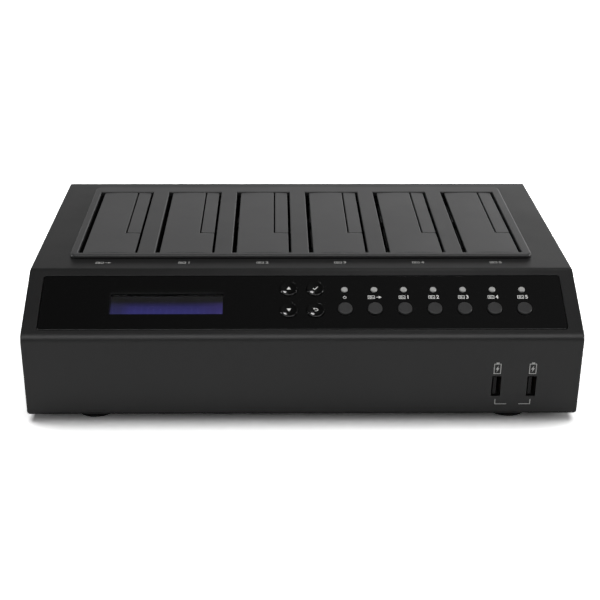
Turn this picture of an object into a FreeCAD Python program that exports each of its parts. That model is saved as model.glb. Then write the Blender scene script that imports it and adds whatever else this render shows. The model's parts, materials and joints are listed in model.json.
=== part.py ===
import FreeCAD, Part

import math
import os
import re

import Sketcher

# Driving dimensions in millimetres and degrees: name, value and what it measures
SIZES = (
    ("housing_width", 310, "outer width of the housing, left to right"),
    ("housing_depth", 192.5, "outer depth of the housing, front to back"),
    ("housing_top", 75, "flat top of the housing above the standing surface"),
    ("foot_height", 3.4, "gap under the housing"),
    ("panel_length", 47.9, "control panel from crease to crease, down its slope"),
    ("panel_angle", 28.9, "slope of the control panel below level"),
    ("wall", 2.5, "wall of the housing"),
    ("crease_radius", 5.5, "rounding of the two creases of the control panel"),
    ("edge_radius", 1, "rounding of the side and back edges"),
    ("rim_radius", 2, "rounding of the bottom rim"),
    ("fit", 0.25, "gap between two mouldings that fit together"),
    ("tray_thick", 2.5, "floor of the base tray"),
    ("lip_height", 4, "upright lip round the base tray"),
    ("lip_thick", 1.5, "thickness of that lip"),
    ("boss_radius", 4, "screw boss that hangs from the housing"),
    ("boss_web", 1.6, "thickness of the webs that tie a boss to the walls"),
    ("boss_side", 8.5, "case boss from the side face"),
    ("boss_end", 9, "case boss from the front or back face"),
    ("middle_boss_x", -24, "middle boss, sideways"),
    ("case_screw_radius", 1.5, "shank of a case screw"),
    ("case_screw_head", 2.8, "head radius of a case screw"),
    ("case_screw_length", 8, "length of a case screw under its head"),
    ("foot_radius", 12, "radius of a rubber foot where it seats"),
    ("foot_taper", 0.4, "how much narrower a foot is at the ground"),
    ("foot_side", 37.5, "foot from the side face"),
    ("foot_front", 15.5, "front foot behind the front face"),
    ("foot_back", 16, "rear foot before the back face"),
    ("foot_seat", 0.5, "depth of the seat of a foot in the tray"),
    ("bay_pitch", 45, "from one drive bay to the next"),
    ("door_width", 30.6, "bay door across its hinge"),
    ("door_length", 105.8, "bay door along its hinge"),
    ("door_front", 19.4, "front edge of the bay doors behind the top crease"),
    ("door_thick", 2.5, "thickness of a bay door"),
    ("door_drop", 0.2, "how far the doors lie below the top of the surround"),
    ("door_crown", 0.35, "rise of a door's middle over its long edges"),
    ("door_corner", 0.8, "corner radius of a door, seen from above"),
    ("door_round", 0.5, "rounding of a door's upper edge"),
    ("door_rim", 2, "width of the plain rim under a bay door"),
    ("door_pocket", 0.8, "depth of the recesses under a bay door"),
    ("hinge_gap", 2.6, "gap beside the hinge edge of a bay door"),
    ("free_gap", 1.5, "gap beside the free edge of a bay door"),
    ("end_gap", 0.5, "gap at the ends of a door"),
    ("door_pin_radius", 0.9, "hinge pin of a bay door"),
    ("door_pin_inset", 0.1, "that pin inwards of the door's left edge"),
    ("door_pin_drop", 4.4, "that pin below the top of the door"),
    ("door_knuckle", 1.7, "outer radius of a bay door's knuckles"),
    ("door_knuckle_length", 8, "length of one knuckle"),
    ("knuckle_inset", 6, "first knuckle from the end of the door"),
    ("pin_play", 0.05, "running gap of a hinge pin"),
    ("small_width", 8.1, "small door across its hinge"),
    ("small_length", 73.3, "small door along its hinge"),
    ("small_thick", 1.8, "thickness of a small door"),
    ("small_gap", 0.8, "gap beside the free edge of a small door"),
    ("small_pin_radius", 0.7, "hinge pin of a small door"),
    ("small_pin_reach", 3.9, "that pin beyond the bay door's right edge"),
    ("small_pin_drop", 1.65, "that pin below the flat top of the housing"),
    ("small_knuckle", 1.4, "outer radius of a small door's knuckles"),
    ("small_arm_length", 6, "width of one hinge arm"),
    ("small_arm_inset", 5, "hinge arm from the end of the small door"),
    ("small_arm_root", 4, "root of a hinge arm from the door's right edge"),
    ("door_wire", 0.25, "radius of the wire of a bay door's spring"),
    ("small_wire", 0.2, "radius of the wire of a small door's spring"),
    ("door_coil", 1.55, "outer radius of a bay door's spring"),
    ("small_coil", 1.25, "outer radius of a small door's spring"),
    ("coil_bore_gap", 0.1, "gap between a coil and its pin"),
    ("coil_length", 10, "length of a spring's coil"),
    ("surround_height", 2.5, "raised surround above the flat top"),
    ("shadow_gap", 0.4, "height and depth of the groove round the foot of the surround"),
    ("surround_side", 134.8, "side edge of the surround from the middle"),
    ("surround_front", 15, "front edge of the surround behind the top crease"),
    ("surround_back", 135.7, "back edge of the surround behind the top crease"),
    ("surround_corner", 4, "corner radius of the surround"),
    ("surround_round", 1.2, "rounding of the surround's top edge"),
    ("opening_bevel", 0.4, "bevel round each opening of the surround"),
    ("peg_radius", 1.5, "locating peg under the surround"),
    ("peg_length", 2.3, "length of a locating peg"),
    ("peg_inset", 4, "pegs before the back edge of the surround"),
    ("sleeve_wall", 1.4, "wall of a drive sleeve"),
    ("sleeve_bottom", 19, "underside of a drive sleeve"),
    ("sleeve_floor", 1.6, "floor of a drive sleeve"),
    ("pocket_wall", 0.9, "outer wall of the small door's pocket"),
    ("pocket_depth", 17, "small door's pocket below the flat top"),
    ("guide_rise", 19, "height of the guide ribs above the sleeve's floor"),
    ("guide_width", 1.6, "thickness of a guide rib"),
    ("drive_width", 101.6, "width of a large drive"),
    ("connector_length", 43, "drive connector, front to back"),
    ("connector_width", 7.4, "drive connector, left to right"),
    ("connector_rise", 5, "drive connector above the sleeve's floor"),
    ("connector_side", 3.85, "middle of the connector from the sleeve's right wall"),
    ("connector_back", 32, "middle of the connector before the back of the doors"),
    ("slot_width", 2.4, "width of the slots in a drive connector"),
    ("power_slot", 22, "length of its power slot"),
    ("data_slot", 9, "length of its data slot"),
    ("slot_split", 5.5, "end of the power slot from the connector's middle"),
    ("bridge_chip", 10, "side of a bridge chip"),
    ("controller_chip", 14, "side of the controller chip"),
    ("chip_thick", 1.5, "thickness of a chip"),
    ("board_thick", 1.6, "thickness of the circuit boards"),
    ("board_margin", 1, "circuit board beyond the bosses that carry it"),
    ("board_bottom", 13, "underside of the two level circuit boards"),
    ("main_board_side", 29, "side edge of the main board from the side face"),
    ("main_board_front", 74, "front edge of the main board behind the front face"),
    ("standoff_inset", 8, "standoff from the side edge of its board"),
    ("standoff_end", 6, "standoff from the front edge of its board"),
    ("standoff_radius", 3, "standoff under a circuit board"),
    ("board_screw_radius", 1.2, "shank of a board screw"),
    ("board_screw_head", 2.5, "head radius of a board screw"),
    ("fascia_width", 292.6, "width of the gloss fascia"),
    ("fascia_start", 5, "top edge of the fascia below the top crease"),
    ("fascia_end", 42.6, "bottom edge of the fascia below the top crease"),
    ("fascia_thick", 1.5, "thickness of the fascia"),
    ("fascia_corner", 1.6, "corner radius of the fascia"),
    ("fascia_bevel", 0.3, "bevel round the face of the fascia"),
    ("display_x", -76, "middle of the display"),
    ("display_s", 24.6, "middle of the display below the top crease"),
    ("display_width", 63, "visible width of the display"),
    ("display_height", 14.6, "visible height of the display"),
    ("window_margin", 2.5, "rim of the clear window behind the fascia"),
    ("window_thick", 1, "thickness of the clear window"),
    ("module_width", 80, "board of the display module, width"),
    ("module_height", 36, "board of the display module, height"),
    ("bezel_width", 71.2, "metal frame of the display module, width"),
    ("bezel_height", 25.2, "metal frame of the display module, height"),
    ("bezel_depth", 6, "metal frame of the display module, depth"),
    ("menu_x", -0.1, "middle of the four menu buttons"),
    ("menu_s", 21.9, "middle of the four menu buttons below the top crease"),
    ("menu_pitch", 14.9, "from one menu button to the next"),
    ("menu_radius", 5, "radius of a menu button"),
    ("menu_rise", 0.9, "menu button above the fascia"),
    ("menu_dish", 0.45, "depth of the dish in a menu button"),
    ("key_x", 23.8, "first of the seven round buttons"),
    ("key_pitch", 16.68, "from one round button to the next"),
    ("key_s", 28.7, "row of round buttons below the top crease"),
    ("key_radius", 4, "radius of a round button"),
    ("key_rise", 1.3, "round button above the fascia"),
    ("key_gap", 0.2, "gap round a button in the fascia"),
    ("key_edge", 0.4, "rounding of the top of a button"),
    ("key_flange", 0.9, "how far a button's flange stands out"),
    ("key_flange_thick", 1, "thickness of that flange"),
    ("key_travel", 0.8, "how far a button can be pressed"),
    ("key_play", 0.1, "gap between a pressed button and its switch"),
    ("light_s", 15.1, "row of status lights below the top crease"),
    ("light_radius", 1.85, "radius of a status light"),
    ("light_lens", 0.3, "height of a light's lens over the fascia"),
    ("panel_board_drop", 10, "face of the button board below the panel's face"),
    ("panel_boss_radius", 2.6, "boss behind the panel"),
    ("switch_side", 6, "side of a push switch on the button board"),
    ("switch_height", 3.5, "height of a push switch"),
    ("plunger_radius", 1.6, "plunger of a push switch"),
    ("plunger_rise", 0.7, "plunger above the case of its switch"),
    ("port_side", 36.95, "middle of the two charging ports from the side face"),
    ("port_pitch", 19.7, "from one charging port to the other"),
    ("port_z", 21.3, "middle of the charging ports above the standing surface"),
    ("port_width", 5.12, "opening of a charging port across"),
    ("port_height", 12.5, "opening of a charging port in height"),
    ("port_depth", 14, "depth of a charging port's shell"),
    ("shell_thick", 0.35, "sheet of a port's shell"),
    ("tongue_gap", 0.9, "tongue of a charging port from the shell's left side"),
    ("tongue_thick", 1.84, "thickness of that tongue"),
    ("tongue_end", 0.85, "tongue from the ends of the opening"),
    ("tongue_set_back", 1.2, "tip of that tongue behind the front face"),
    ("tongue_root", 4, "length of the tongue's root in the shell"),
    ("inlet_x", -95, "power inlet, sideways"),
    ("inlet_bore", 3.2, "bore of the power inlet"),
    ("inlet_barrel", 4.6, "round collar of the power inlet"),
    ("inlet_body", 11, "width and height of the power inlet's body"),
    ("inlet_depth", 13, "depth of the power inlet's body"),
    ("inlet_pin", 1.2, "centre pin of the power inlet"),
    ("inlet_reach", 10, "depth of the bore of the power inlet"),
    ("host_x", -45, "square host port, sideways"),
    ("host_width", 12.1, "square host port, outer width"),
    ("host_height", 10.6, "square host port, outer height"),
    ("host_depth", 17, "square host port, depth"),
    ("host_tongue", 5.2, "thickness of the tongue in the square host port"),
    ("link_x", -70, "flat host port, sideways"),
    ("link_width", 15.6, "flat host port, outer width"),
    ("link_height", 5.6, "flat host port, outer height"),
    ("link_depth", 12, "flat host port, depth"),
    ("link_tongue", 1.8, "thickness of the tongue in the flat host port"),
    ("mouth_depth", 8, "depth of the open mouth of both host ports"),
    ("vent_width", 2.4, "width of a vent slot"),
    ("vent_height", 20, "height of a vent slot in the back wall"),
    ("vent_pitch", 5.2, "from one vent slot to the next"),
    ("vent_middle_z", 44, "middle of the vent slots in the back wall"),
    ("floor_vent_length", 40, "length of a vent slot in the tray"),
)

# Counts and places that loops run over
BAYS = 6
KEYS = ("power_button", "source_button") + tuple("drive_button_%d" % n for n in range(1, BAYS))
MENU = (("up", -0.5, -0.5), ("enter", 0.5, -0.5), ("down", -0.5, 0.5), ("back", 0.5, 0.5))
BACK_VENT_GROUPS = (-1.15, 1.15)
BACK_VENTS = 12
FLOOR_VENT_GROUPS = (-62, 0, 62)
FLOOR_VENTS = 9
PANEL_BOSSES = ((-17, 22), (15.9, 22), (65.4, 22), (132.6, 22))
FRONT_STANDOFFS = (-1, -1 / 3, 1 / 3, 1)
BACK_STANDOFFS = (-1, 0, 1)

# Places worked out from the sizes, as formulas
FRONT_Y = "(-housing_depth / 2)"
BACK_Y = "(housing_depth / 2)"
CREASE_Y = "(panel_length * cos(panel_angle) - housing_depth / 2)"
PANEL_FOOT_Z = "(housing_top - panel_length * sin(panel_angle))"
SURROUND_TOP = "(housing_top + surround_height)"
DOOR_TOP = "(housing_top + surround_height - door_drop)"
DOOR_FRONT_Y = "(%s + door_front)" % CREASE_Y
DOOR_BACK_Y = "(%s + door_length)" % DOOR_FRONT_Y
SMALL_FRONT_Y = "(%s - small_length)" % DOOR_BACK_Y
DOOR_PIN_X = "(door_width / 2 - door_pin_inset)"
DOOR_PIN_Z = "(%s - door_pin_drop)" % DOOR_TOP
SMALL_PIN_X = "(door_width / 2 + small_pin_reach)"
SMALL_PIN_Z = "(housing_top - small_pin_drop)"
WELL_LEFT = "(-door_width / 2 - hinge_gap)"
WELL_RIGHT = "(door_width / 2 + free_gap)"
WELL_FRONT_Y = "(%s - end_gap)" % DOOR_FRONT_Y
WELL_BACK_Y = "(%s + end_gap)" % DOOR_BACK_Y
POCKET_RIGHT = "(%s + small_knuckle + fit)" % SMALL_PIN_X
POCKET_FRONT_Y = "(%s - end_gap)" % SMALL_FRONT_Y
FIRST_BAY_X = "(-%g * bay_pitch)" % ((BAYS - 1) / 2)
LAST_BAY_X = "(%g * bay_pitch)" % ((BAYS - 1) / 2)
BOSS_X = "(housing_width / 2 - boss_side)"
BOSS_Y = "(housing_depth / 2 - boss_end)"
FOOT_X = "(housing_width / 2 - foot_side)"
PORT_X = "(housing_width / 2 - port_side)"
BOARD_SIDE = "(housing_width / 2 - main_board_side)"
BOARD_FRONT = "(%s + main_board_front)" % FRONT_Y
BOARD_BACK = "(%s - wall - 2 * lip_thick)" % BACK_Y
TRAY_TOP = "(foot_height + tray_thick)"
BOARD_TOP = "(board_bottom + board_thick)"
FLOOR_TOP = "(sleeve_bottom + sleeve_floor)"
CONNECTOR_X = "(%s - connector_side)" % WELL_RIGHT
CONNECTOR_Y = "(%s - connector_back)" % DOOR_BACK_Y
KEY_STEM_END = "(-panel_board_drop + switch_height + plunger_rise + key_travel + key_play)"
CROWN_RADIUS = "(((door_width / 2)^2 + door_crown^2) / (2 * door_crown))"

# How far a cutting tool reaches past the faces it cuts, written in formulas as the word overcut
OVERCUT = "1"

DOC = FreeCAD.newDocument("DriveDock")
SHEET = DOC.addObject("Spreadsheet::Sheet", "Sizes")
NAMES = re.compile(r"\b(%s)\b" % "|".join(name for name, value, meaning in SIZES))
ORIGIN = FreeCAD.Vector(0, 0, 0)
TURNS = {
    "x": FreeCAD.Rotation(FreeCAD.Vector(0, 1, 0), 90),
    "y": FreeCAD.Rotation(FreeCAD.Vector(1, 0, 0), -90),
    "z": FreeCAD.Rotation(),
}
PIECES = {}


def fill_sheet():
    """Write each driving dimension into its own cell, with its name as the alias."""
    for row, (name, value, meaning) in enumerate(SIZES, start=1):
        SHEET.set("A%d" % row, name)
        SHEET.set("B%d" % row, str(value))
        SHEET.set("C%d" % row, meaning)
        SHEET.setAlias("B%d" % row, name)
    DOC.recompute()


# Small helpers

def bind(thing, size, text):
    """Tie one property of an object to a formula of the named sizes."""
    formula = NAMES.sub(r"Sizes.\1", str(text).replace("overcut", OVERCUT))
    thing.setExpression(size, formula)


def put(thing, x="0", y="0", z="0"):
    """Tie the place of an object to three formulas."""
    for axis, text in (("x", x), ("y", y), ("z", z)):
        bind(thing, "Placement.Base." + axis, text)
    return thing


def box(name, low, high):
    """Box between two opposite corners, each given as three formulas."""
    solid = DOC.addObject("Part::Box", name)
    for side, start, end in zip(("Length", "Width", "Height"), low, high):
        bind(solid, side, "(%s) - (%s)" % (end, start))
    return put(solid, *low)


def rod(name, axis, radius, start, length):
    """Round bar from a start point along one axis."""
    solid = DOC.addObject("Part::Cylinder", name)
    solid.Placement = FreeCAD.Placement(ORIGIN, TURNS[axis])
    bind(solid, "Radius", radius)
    bind(solid, "Height", length)
    return put(solid, *start)


def fuse(name, *solids):
    """Join solids into one."""
    if len(solids) == 1:
        return solids[0]
    joined = DOC.addObject("Part::MultiFuse", name)
    joined.Shapes = list(solids)
    return joined


def cut(name, base, *tools):
    """Take the tools away from the base."""
    result = DOC.addObject("Part::Cut", name)
    result.Base = base
    result.Tool = fuse(name + "_tools", *tools)
    return result


def group(name, solids):
    """Several separate solids that share one node."""
    compound = DOC.addObject("Part::Compound", name)
    compound.Links = list(solids)
    return compound


def on_panel(thing, x="0", s="0", lift="0"):
    """Lay a thing drawn level on the sloping panel: x sideways, s down the slope, lift off its face."""
    thing.Placement = FreeCAD.Placement(ORIGIN, FreeCAD.Rotation(FreeCAD.Vector(1, 0, 0), 30))
    bind(thing, "Placement.Rotation.Angle", "panel_angle")
    return put(thing, x, "%s - (%s) * cos(panel_angle) - (%s) * sin(panel_angle)" % (CREASE_Y, s, lift),
               "housing_top - (%s) * sin(panel_angle) + (%s) * cos(panel_angle)" % (s, lift))


def panel_rod(name, x, s, radius, low, high):
    """Round bar square to the panel, between two heights over its face."""
    bar = DOC.addObject("Part::Cylinder", name)
    bind(bar, "Radius", radius)
    bind(bar, "Height", "(%s) - (%s)" % (high, low))
    return on_panel(bar, x, s, low)


def panel_box(name, low, high):
    """Box square to the panel, between two corners in x, s and height over its face."""
    block = DOC.addObject("Part::Box", name)
    bind(block, "Length", "(%s) - (%s)" % (high[0], low[0]))
    bind(block, "Width", "(%s) - (%s)" % (high[1], low[1]))
    bind(block, "Height", "(%s) - (%s)" % (high[2], low[2]))
    return on_panel(block, low[0], high[1], low[2])


def piece(label, thing):
    """Keep a finished sub-part under the name of its file."""
    thing.Label = label
    PIECES[label] = thing


# Sketches and features of a part design body

def new_body(name):
    return DOC.addObject("PartDesign::Body", name)


def origin_of(body, role):
    return next(item for item in body.Origin.OriginFeatures if item.Role == role)


def sketch_on(body, name, role, lift="0"):
    """New sketch on one of the body's own origin planes, lifted along its normal."""
    sketch = body.newObject("Sketcher::SketchObject", name)
    sketch.AttachmentSupport = [(origin_of(body, role), "")]
    sketch.MapMode = "FlatFace"
    bind(sketch, "AttachmentOffset.Base.z", lift)
    return sketch


def pin_point(sketch, element, point, place):
    """Tie one point of a sketch to its two coordinates."""
    for kind, text in zip(("DistanceX", "DistanceY"), place):
        index = sketch.addConstraint(Sketcher.Constraint(kind, -1, 1, element, point, 1.0))
        bind(sketch, "Constraints[%d]" % index, text)


def outline(sketch, corners):
    """Closed outline with straight sides through corners given as formulas."""
    first = sketch.GeometryCount
    count = len(corners)
    ring = [FreeCAD.Rotation(FreeCAD.Vector(0, 0, 1), 360 * n / count).multVec(FreeCAD.Vector(1, 0, 0))
            for n in range(count)]
    sides = [Part.LineSegment(ring[n], ring[(n + 1) % count]) for n in range(count)]
    sketch.addGeometry(sides, False)
    joints = [Sketcher.Constraint("Coincident", first + n, 2, first + (n + 1) % count, 1)
              for n in range(count)]
    sketch.addConstraint(joints)
    for n, place in enumerate(corners):
        pin_point(sketch, first + n, 1, place)


def rectangle(sketch, low, high):
    outline(sketch, (low, (high[0], low[1]), high, (low[0], high[1])))


def circle(sketch, centre, radius):
    """Full circle with its centre and radius given as formulas."""
    element = sketch.addGeometry(Part.Circle(ORIGIN, FreeCAD.Vector(0, 0, 1), 1.0), False)
    pin_point(sketch, element, 3, centre)
    index = sketch.addConstraint(Sketcher.Constraint("Radius", element, 1.0))
    bind(sketch, "Constraints[%d]" % index, radius)


def crowned_outline(sketch, left, right, under, start, end):
    """Slab section with upright sides, under an arc that crests over the middle of its bay."""
    rise = SHEET.get("door_crown")
    radius = ((SHEET.get("door_width") / 2) ** 2 + rise ** 2) / (2 * rise)
    centre = FreeCAD.Vector(0, SHEET.get("housing_top") - radius, 0)
    turns = [math.acos(place / radius) for place in (end, start)]
    arc = Part.ArcOfCircle(Part.Circle(centre, FreeCAD.Vector(0, 0, 1), radius), *turns)
    ends = [centre + FreeCAD.Vector(math.cos(turn), math.sin(turn), 0) * radius for turn in turns]
    lower = [corner - FreeCAD.Vector(0, 1, 0) for corner in ends]
    sketch.addGeometry([arc, Part.LineSegment(ends[1], lower[1]), Part.LineSegment(lower[1], lower[0]),
                        Part.LineSegment(lower[0], ends[0])], False)
    sketch.addConstraint([Sketcher.Constraint("Coincident", side, 2, (side + 1) % 4, 1) for side in (1, 2)]
                         + [Sketcher.Constraint("Coincident", 0, 2, 1, 1),
                            Sketcher.Constraint("Coincident", 3, 2, 0, 1),
                            Sketcher.Constraint("Vertical", 1), Sketcher.Constraint("Vertical", 3)])
    index = sketch.addConstraint(Sketcher.Constraint("Radius", 0, radius))
    bind(sketch, "Constraints[%d]" % index, CROWN_RADIUS)
    pin_point(sketch, 0, 3, ("0", "%s - %s" % (DOOR_TOP, CROWN_RADIUS)))
    pin_point(sketch, 2, 1, (left, under))
    pin_point(sketch, 2, 2, (right, under))


def pad(body, name, sketch, length, both_ways=False, other_way=False):
    feature = body.newObject("PartDesign::Pad", name)
    feature.Profile = sketch
    feature.SideType = "Symmetric" if both_ways else "One side"
    feature.Reversed = other_way
    bind(feature, "Length", length)
    return feature


def pocket(body, name, sketch, length, other_way=False):
    """Cut a sketch out of the body, and make sure that it takes something away."""
    DOC.recompute()
    before = body.Shape.Volume
    feature = body.newObject("PartDesign::Pocket", name)
    feature.Profile = sketch
    feature.Reversed = other_way
    bind(feature, "Length", length)
    DOC.recompute()
    if feature.Shape.Volume > before - 0.001:
        raise ValueError("%s cuts nothing" % name)
    return feature


def repeat(body, name, features, role, length, count):
    """Row of copies of some features along one origin axis of the body."""
    row = body.newObject("PartDesign::LinearPattern", name)
    row.Originals = list(features)
    row.Direction = (origin_of(body, role), [""])
    bind(row, "Length", length)
    row.Occurrences = count
    body.Tip = row
    return row


def soften(body, name, kind, size, wanted):
    """Fillet or chamfer the edges of the body that the test picks."""
    DOC.recompute()
    base = body.Tip
    edges = ["Edge%d" % number for number, edge in enumerate(base.Shape.Edges, start=1) if wanted(edge)]
    feature = body.newObject("PartDesign::" + kind, name)
    feature.Base = (base, edges)
    bind(feature, "Radius" if kind == "Fillet" else "Size", size)
    body.Tip = feature
    return feature


def lies_at(edge, axis, value, slack=0.001):
    """Whether a whole edge lies in the plane where one coordinate has this value."""
    limits = edge.BoundBox
    low = getattr(limits, axis + "Min")
    high = getattr(limits, axis + "Max")
    return abs(low - value) < slack and abs(high - value) < slack


def runs_along(edge, axis):
    """Whether an edge is straight and lies along one axis."""
    limits = edge.BoundBox
    across = [getattr(limits, other + "Length") for other in "XYZ" if other != axis]
    return max(across) < 0.001


# Housing, tray and what holds them together

def housing_outer():
    """Outside of the upper housing: its side profile drawn out over the width."""
    body = new_body("housing_outer")
    profile = sketch_on(body, "housing_profile", "YZ_Plane")
    outline(profile, ((FRONT_Y, "foot_height"), (FRONT_Y, PANEL_FOOT_Z), (CREASE_Y, "housing_top"),
                      (BACK_Y, "housing_top"), (BACK_Y, "foot_height")))
    pad(body, "housing_block", profile, "housing_width", both_ways=True)
    DOC.recompute()
    limits = body.Shape.BoundBox
    soften(body, "crease_rounds", "Fillet", "crease_radius",
           lambda edge: runs_along(edge, "X") and not lies_at(edge, "Z", limits.ZMin)
           and not lies_at(edge, "Y", limits.YMax))
    soften(body, "side_rounds", "Fillet", "edge_radius",
           lambda edge: not lies_at(edge, "Z", limits.ZMin)
           and (lies_at(edge, "X", limits.XMin) or lies_at(edge, "X", limits.XMax)
                or (lies_at(edge, "Y", limits.YMax) and lies_at(edge, "Z", limits.ZMax))))
    soften(body, "rim_rounds", "Fillet", "rim_radius", lambda edge: lies_at(edge, "Z", limits.ZMin))
    return body


def housing_cavity():
    """Inside of the upper housing, one wall away from its outside and open below."""
    body = new_body("housing_cavity")
    profile = sketch_on(body, "cavity_profile", "YZ_Plane")
    low = "foot_height - overcut"
    outline(profile, (
        (FRONT_Y + " + wall", low),
        (FRONT_Y + " + wall", PANEL_FOOT_Z + " - wall * tan((90 - panel_angle) / 2)"),
        (CREASE_Y + " + wall * tan(panel_angle / 2)", "housing_top - wall"),
        (BACK_Y + " - wall", "housing_top - wall"),
        (BACK_Y + " - wall", low)))
    pad(body, "cavity_block", profile, "housing_width - 2 * wall", both_ways=True)
    return body


def boss_places():
    """Where the case screws stand: four corners, and one in the middle of the front and back."""
    return [(x, y) for x in ("-" + BOSS_X, "middle_boss_x", BOSS_X) for y in ("-" + BOSS_Y, BOSS_Y)]


def rounded_plate(name, grow, depth):
    """Plate of the fascia's outline, grown by a gap, reaching down from the panel's face."""
    body = new_body(name)
    face = sketch_on(body, name + "_face", "XY_Plane")
    rectangle(face, ("-fascia_width / 2 - (%s)" % grow, "-fascia_end - (%s)" % grow),
              ("fascia_width / 2 + (%s)" % grow, "-fascia_start + (%s)" % grow))
    pad(body, name + "_plate", face, depth, other_way=True)
    soften(body, name + "_corners", "Fillet", "fascia_corner + (%s)" % grow,
           lambda edge: runs_along(edge, "Z"))
    return body


def key_places():
    """Middle of each of the seven round buttons, and of each light above them."""
    return ["key_x + %d * key_pitch" % number for number in range(len(KEYS))]


def menu_places():
    """Middle of each of the four menu buttons, in x and s."""
    return [("menu_x + %g * menu_pitch" % across, "menu_s + %g * menu_pitch" % down)
            for name, across, down in MENU]


def boss_web(x, y):
    """Upright web from a case boss to the front or back wall beside it."""
    low, high = (y, BACK_Y) if not y.startswith("-") else (FRONT_Y, y)
    return box("boss_web", (x + " - boss_web / 2", low, TRAY_TOP + " + lip_height + fit"),
               (x + " + boss_web / 2", high, "housing_top"))


def upper_housing():
    """Top, front, back and sides in one moulding, with every opening in it."""
    bosses = [rod("case_boss", "z", "boss_radius", (x, y, TRAY_TOP), "housing_top - %s" % TRAY_TOP)
              for x, y in boss_places()]
    bosses += [boss_web(x, y) for x, y in boss_places()]
    bosses += [panel_rod("panel_boss", str(x), str(s), "panel_boss_radius", "-panel_board_drop", "0")
               for x, s in PANEL_BOSSES]
    module_half_width = "(module_width / 2 - panel_boss_radius)"
    module_half_height = "(module_height / 2 - panel_boss_radius)"
    for across in (-1, 1):
        for down in (-1, 1):
            bosses.append(panel_rod(
                "module_boss", "display_x + %d * %s" % (across, module_half_width),
                "display_s + %d * %s" % (down, module_half_height),
                "panel_boss_radius", "-wall - fit - bezel_depth", "0"))
    hollow = cut("housing_hollow", housing_cavity(), *bosses)

    openings = [hollow]
    openings.append(box("bays_opening",
                        (FIRST_BAY_X + " + " + WELL_LEFT + " - sleeve_wall - fit",
                         WELL_FRONT_Y + " - sleeve_wall - fit", "housing_top - wall - overcut"),
                        (LAST_BAY_X + " + " + POCKET_RIGHT + " + fit",
                         WELL_BACK_Y + " + sleeve_wall + fit", "housing_top + overcut")))
    for number in range(BAYS - 1):
        openings.append(rod("peg_hole", "z", "peg_radius + fit",
                            ("%g * bay_pitch" % (number - (BAYS - 2) / 2),
                             CREASE_Y + " + surround_back - peg_inset", "housing_top - wall - overcut"),
                            "wall + 2 * overcut"))
    for x, y in boss_places():
        openings.append(rod("boss_pilot", "z", "case_screw_radius + pin_play", (x, y, "foot_height"),
                            "tray_thick + case_screw_length"))
    recess = rounded_plate("fascia_recess", "fit", "fascia_thick + overcut")
    openings.append(on_panel(recess, lift="overcut"))
    through = "-wall - overcut"
    for x in key_places():
        openings.append(panel_rod("key_hole", x, "key_s", "key_radius + 2 * key_gap", through, "0"))
        openings.append(panel_rod("light_hole", x, "light_s", "light_radius + key_gap", through, "0"))
    for x, s in menu_places():
        openings.append(panel_rod("menu_hole", x, s, "menu_radius + 2 * key_gap", through, "0"))
    half_window = "(display_width / 2 + window_margin + fit)"
    half_pane = "(display_height / 2 + window_margin + fit)"
    openings.append(panel_box("window_hole",
                                ("display_x - " + half_window, "display_s - " + half_pane, through),
                                ("display_x + " + half_window, "display_s + " + half_pane, "0")))
    for side in (-0.5, 0.5):
        middle = "%s + %g * port_pitch" % (PORT_X, side)
        openings.append(box("port_hole",
                            (middle + " - port_width / 2", FRONT_Y + " - overcut",
                             "port_z - port_height / 2"),
                            (middle + " + port_width / 2", FRONT_Y + " + wall + overcut",
                             "port_z + port_height / 2")))
    openings += back_wall_openings()
    piece("upper_housing", cut("housing_shell", housing_outer(), *openings))


def back_wall_openings():
    """Holes for the ports and two rows of upright vent slots in the back wall."""
    inner = BACK_Y + " - wall - overcut"
    outer = BACK_Y + " + overcut"
    holes = [rod("inlet_hole", "y", "inlet_barrel + fit",
                 ("inlet_x", inner, BOARD_TOP + " + inlet_body / 2"), "wall + 2 * overcut")]
    for place, width, height in (("host_x", "host_width", "host_height"),
                                 ("link_x", "link_width", "link_height")):
        holes.append(box("port_window",
                         ("%s - %s / 2 - fit" % (place, width), inner, BOARD_TOP + " - fit"),
                         ("%s + %s / 2 + fit" % (place, width), outer, BOARD_TOP + " + %s + fit" % height)))
    for side in BACK_VENT_GROUPS:
        for number in range(BACK_VENTS):
            middle = "(%g * bay_pitch + %g * vent_pitch)" % (side, number - (BACK_VENTS - 1) / 2)
            holes.append(box("back_vent",
                             (middle + " - vent_width / 2", inner, "vent_middle_z - vent_height / 2"),
                             (middle + " + vent_width / 2", outer, "vent_middle_z + vent_height / 2")))
    return holes


def foot_places():
    places = []
    for across in (-1, 1):
        places.append(("%d * %s" % (across, FOOT_X), FRONT_Y + " + foot_front"))
        places.append(("%d * %s" % (across, FOOT_X), BACK_Y + " - foot_back"))
    return places


def main_standoffs():
    """Standoffs under the main board: a row near its front edge and a row near its back edge."""
    side = BOARD_SIDE + " - standoff_inset"
    front = BOARD_FRONT + " + standoff_end"
    back = BOARD_BACK + " - standoff_inset"
    return ([("%g * (%s)" % (share, side), front) for share in FRONT_STANDOFFS]
            + [("%g * (%s)" % (share, side), back) for share in BACK_STANDOFFS])


def charge_standoffs():
    """Two standoffs under the charging board, either side of its ports."""
    y = FRONT_Y + " + wall + 2 * port_depth / 3 + 3 * standoff_radius"
    return [("%s + %d * port_pitch" % (PORT_X, side), y) for side in (-1, 1)]


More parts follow.
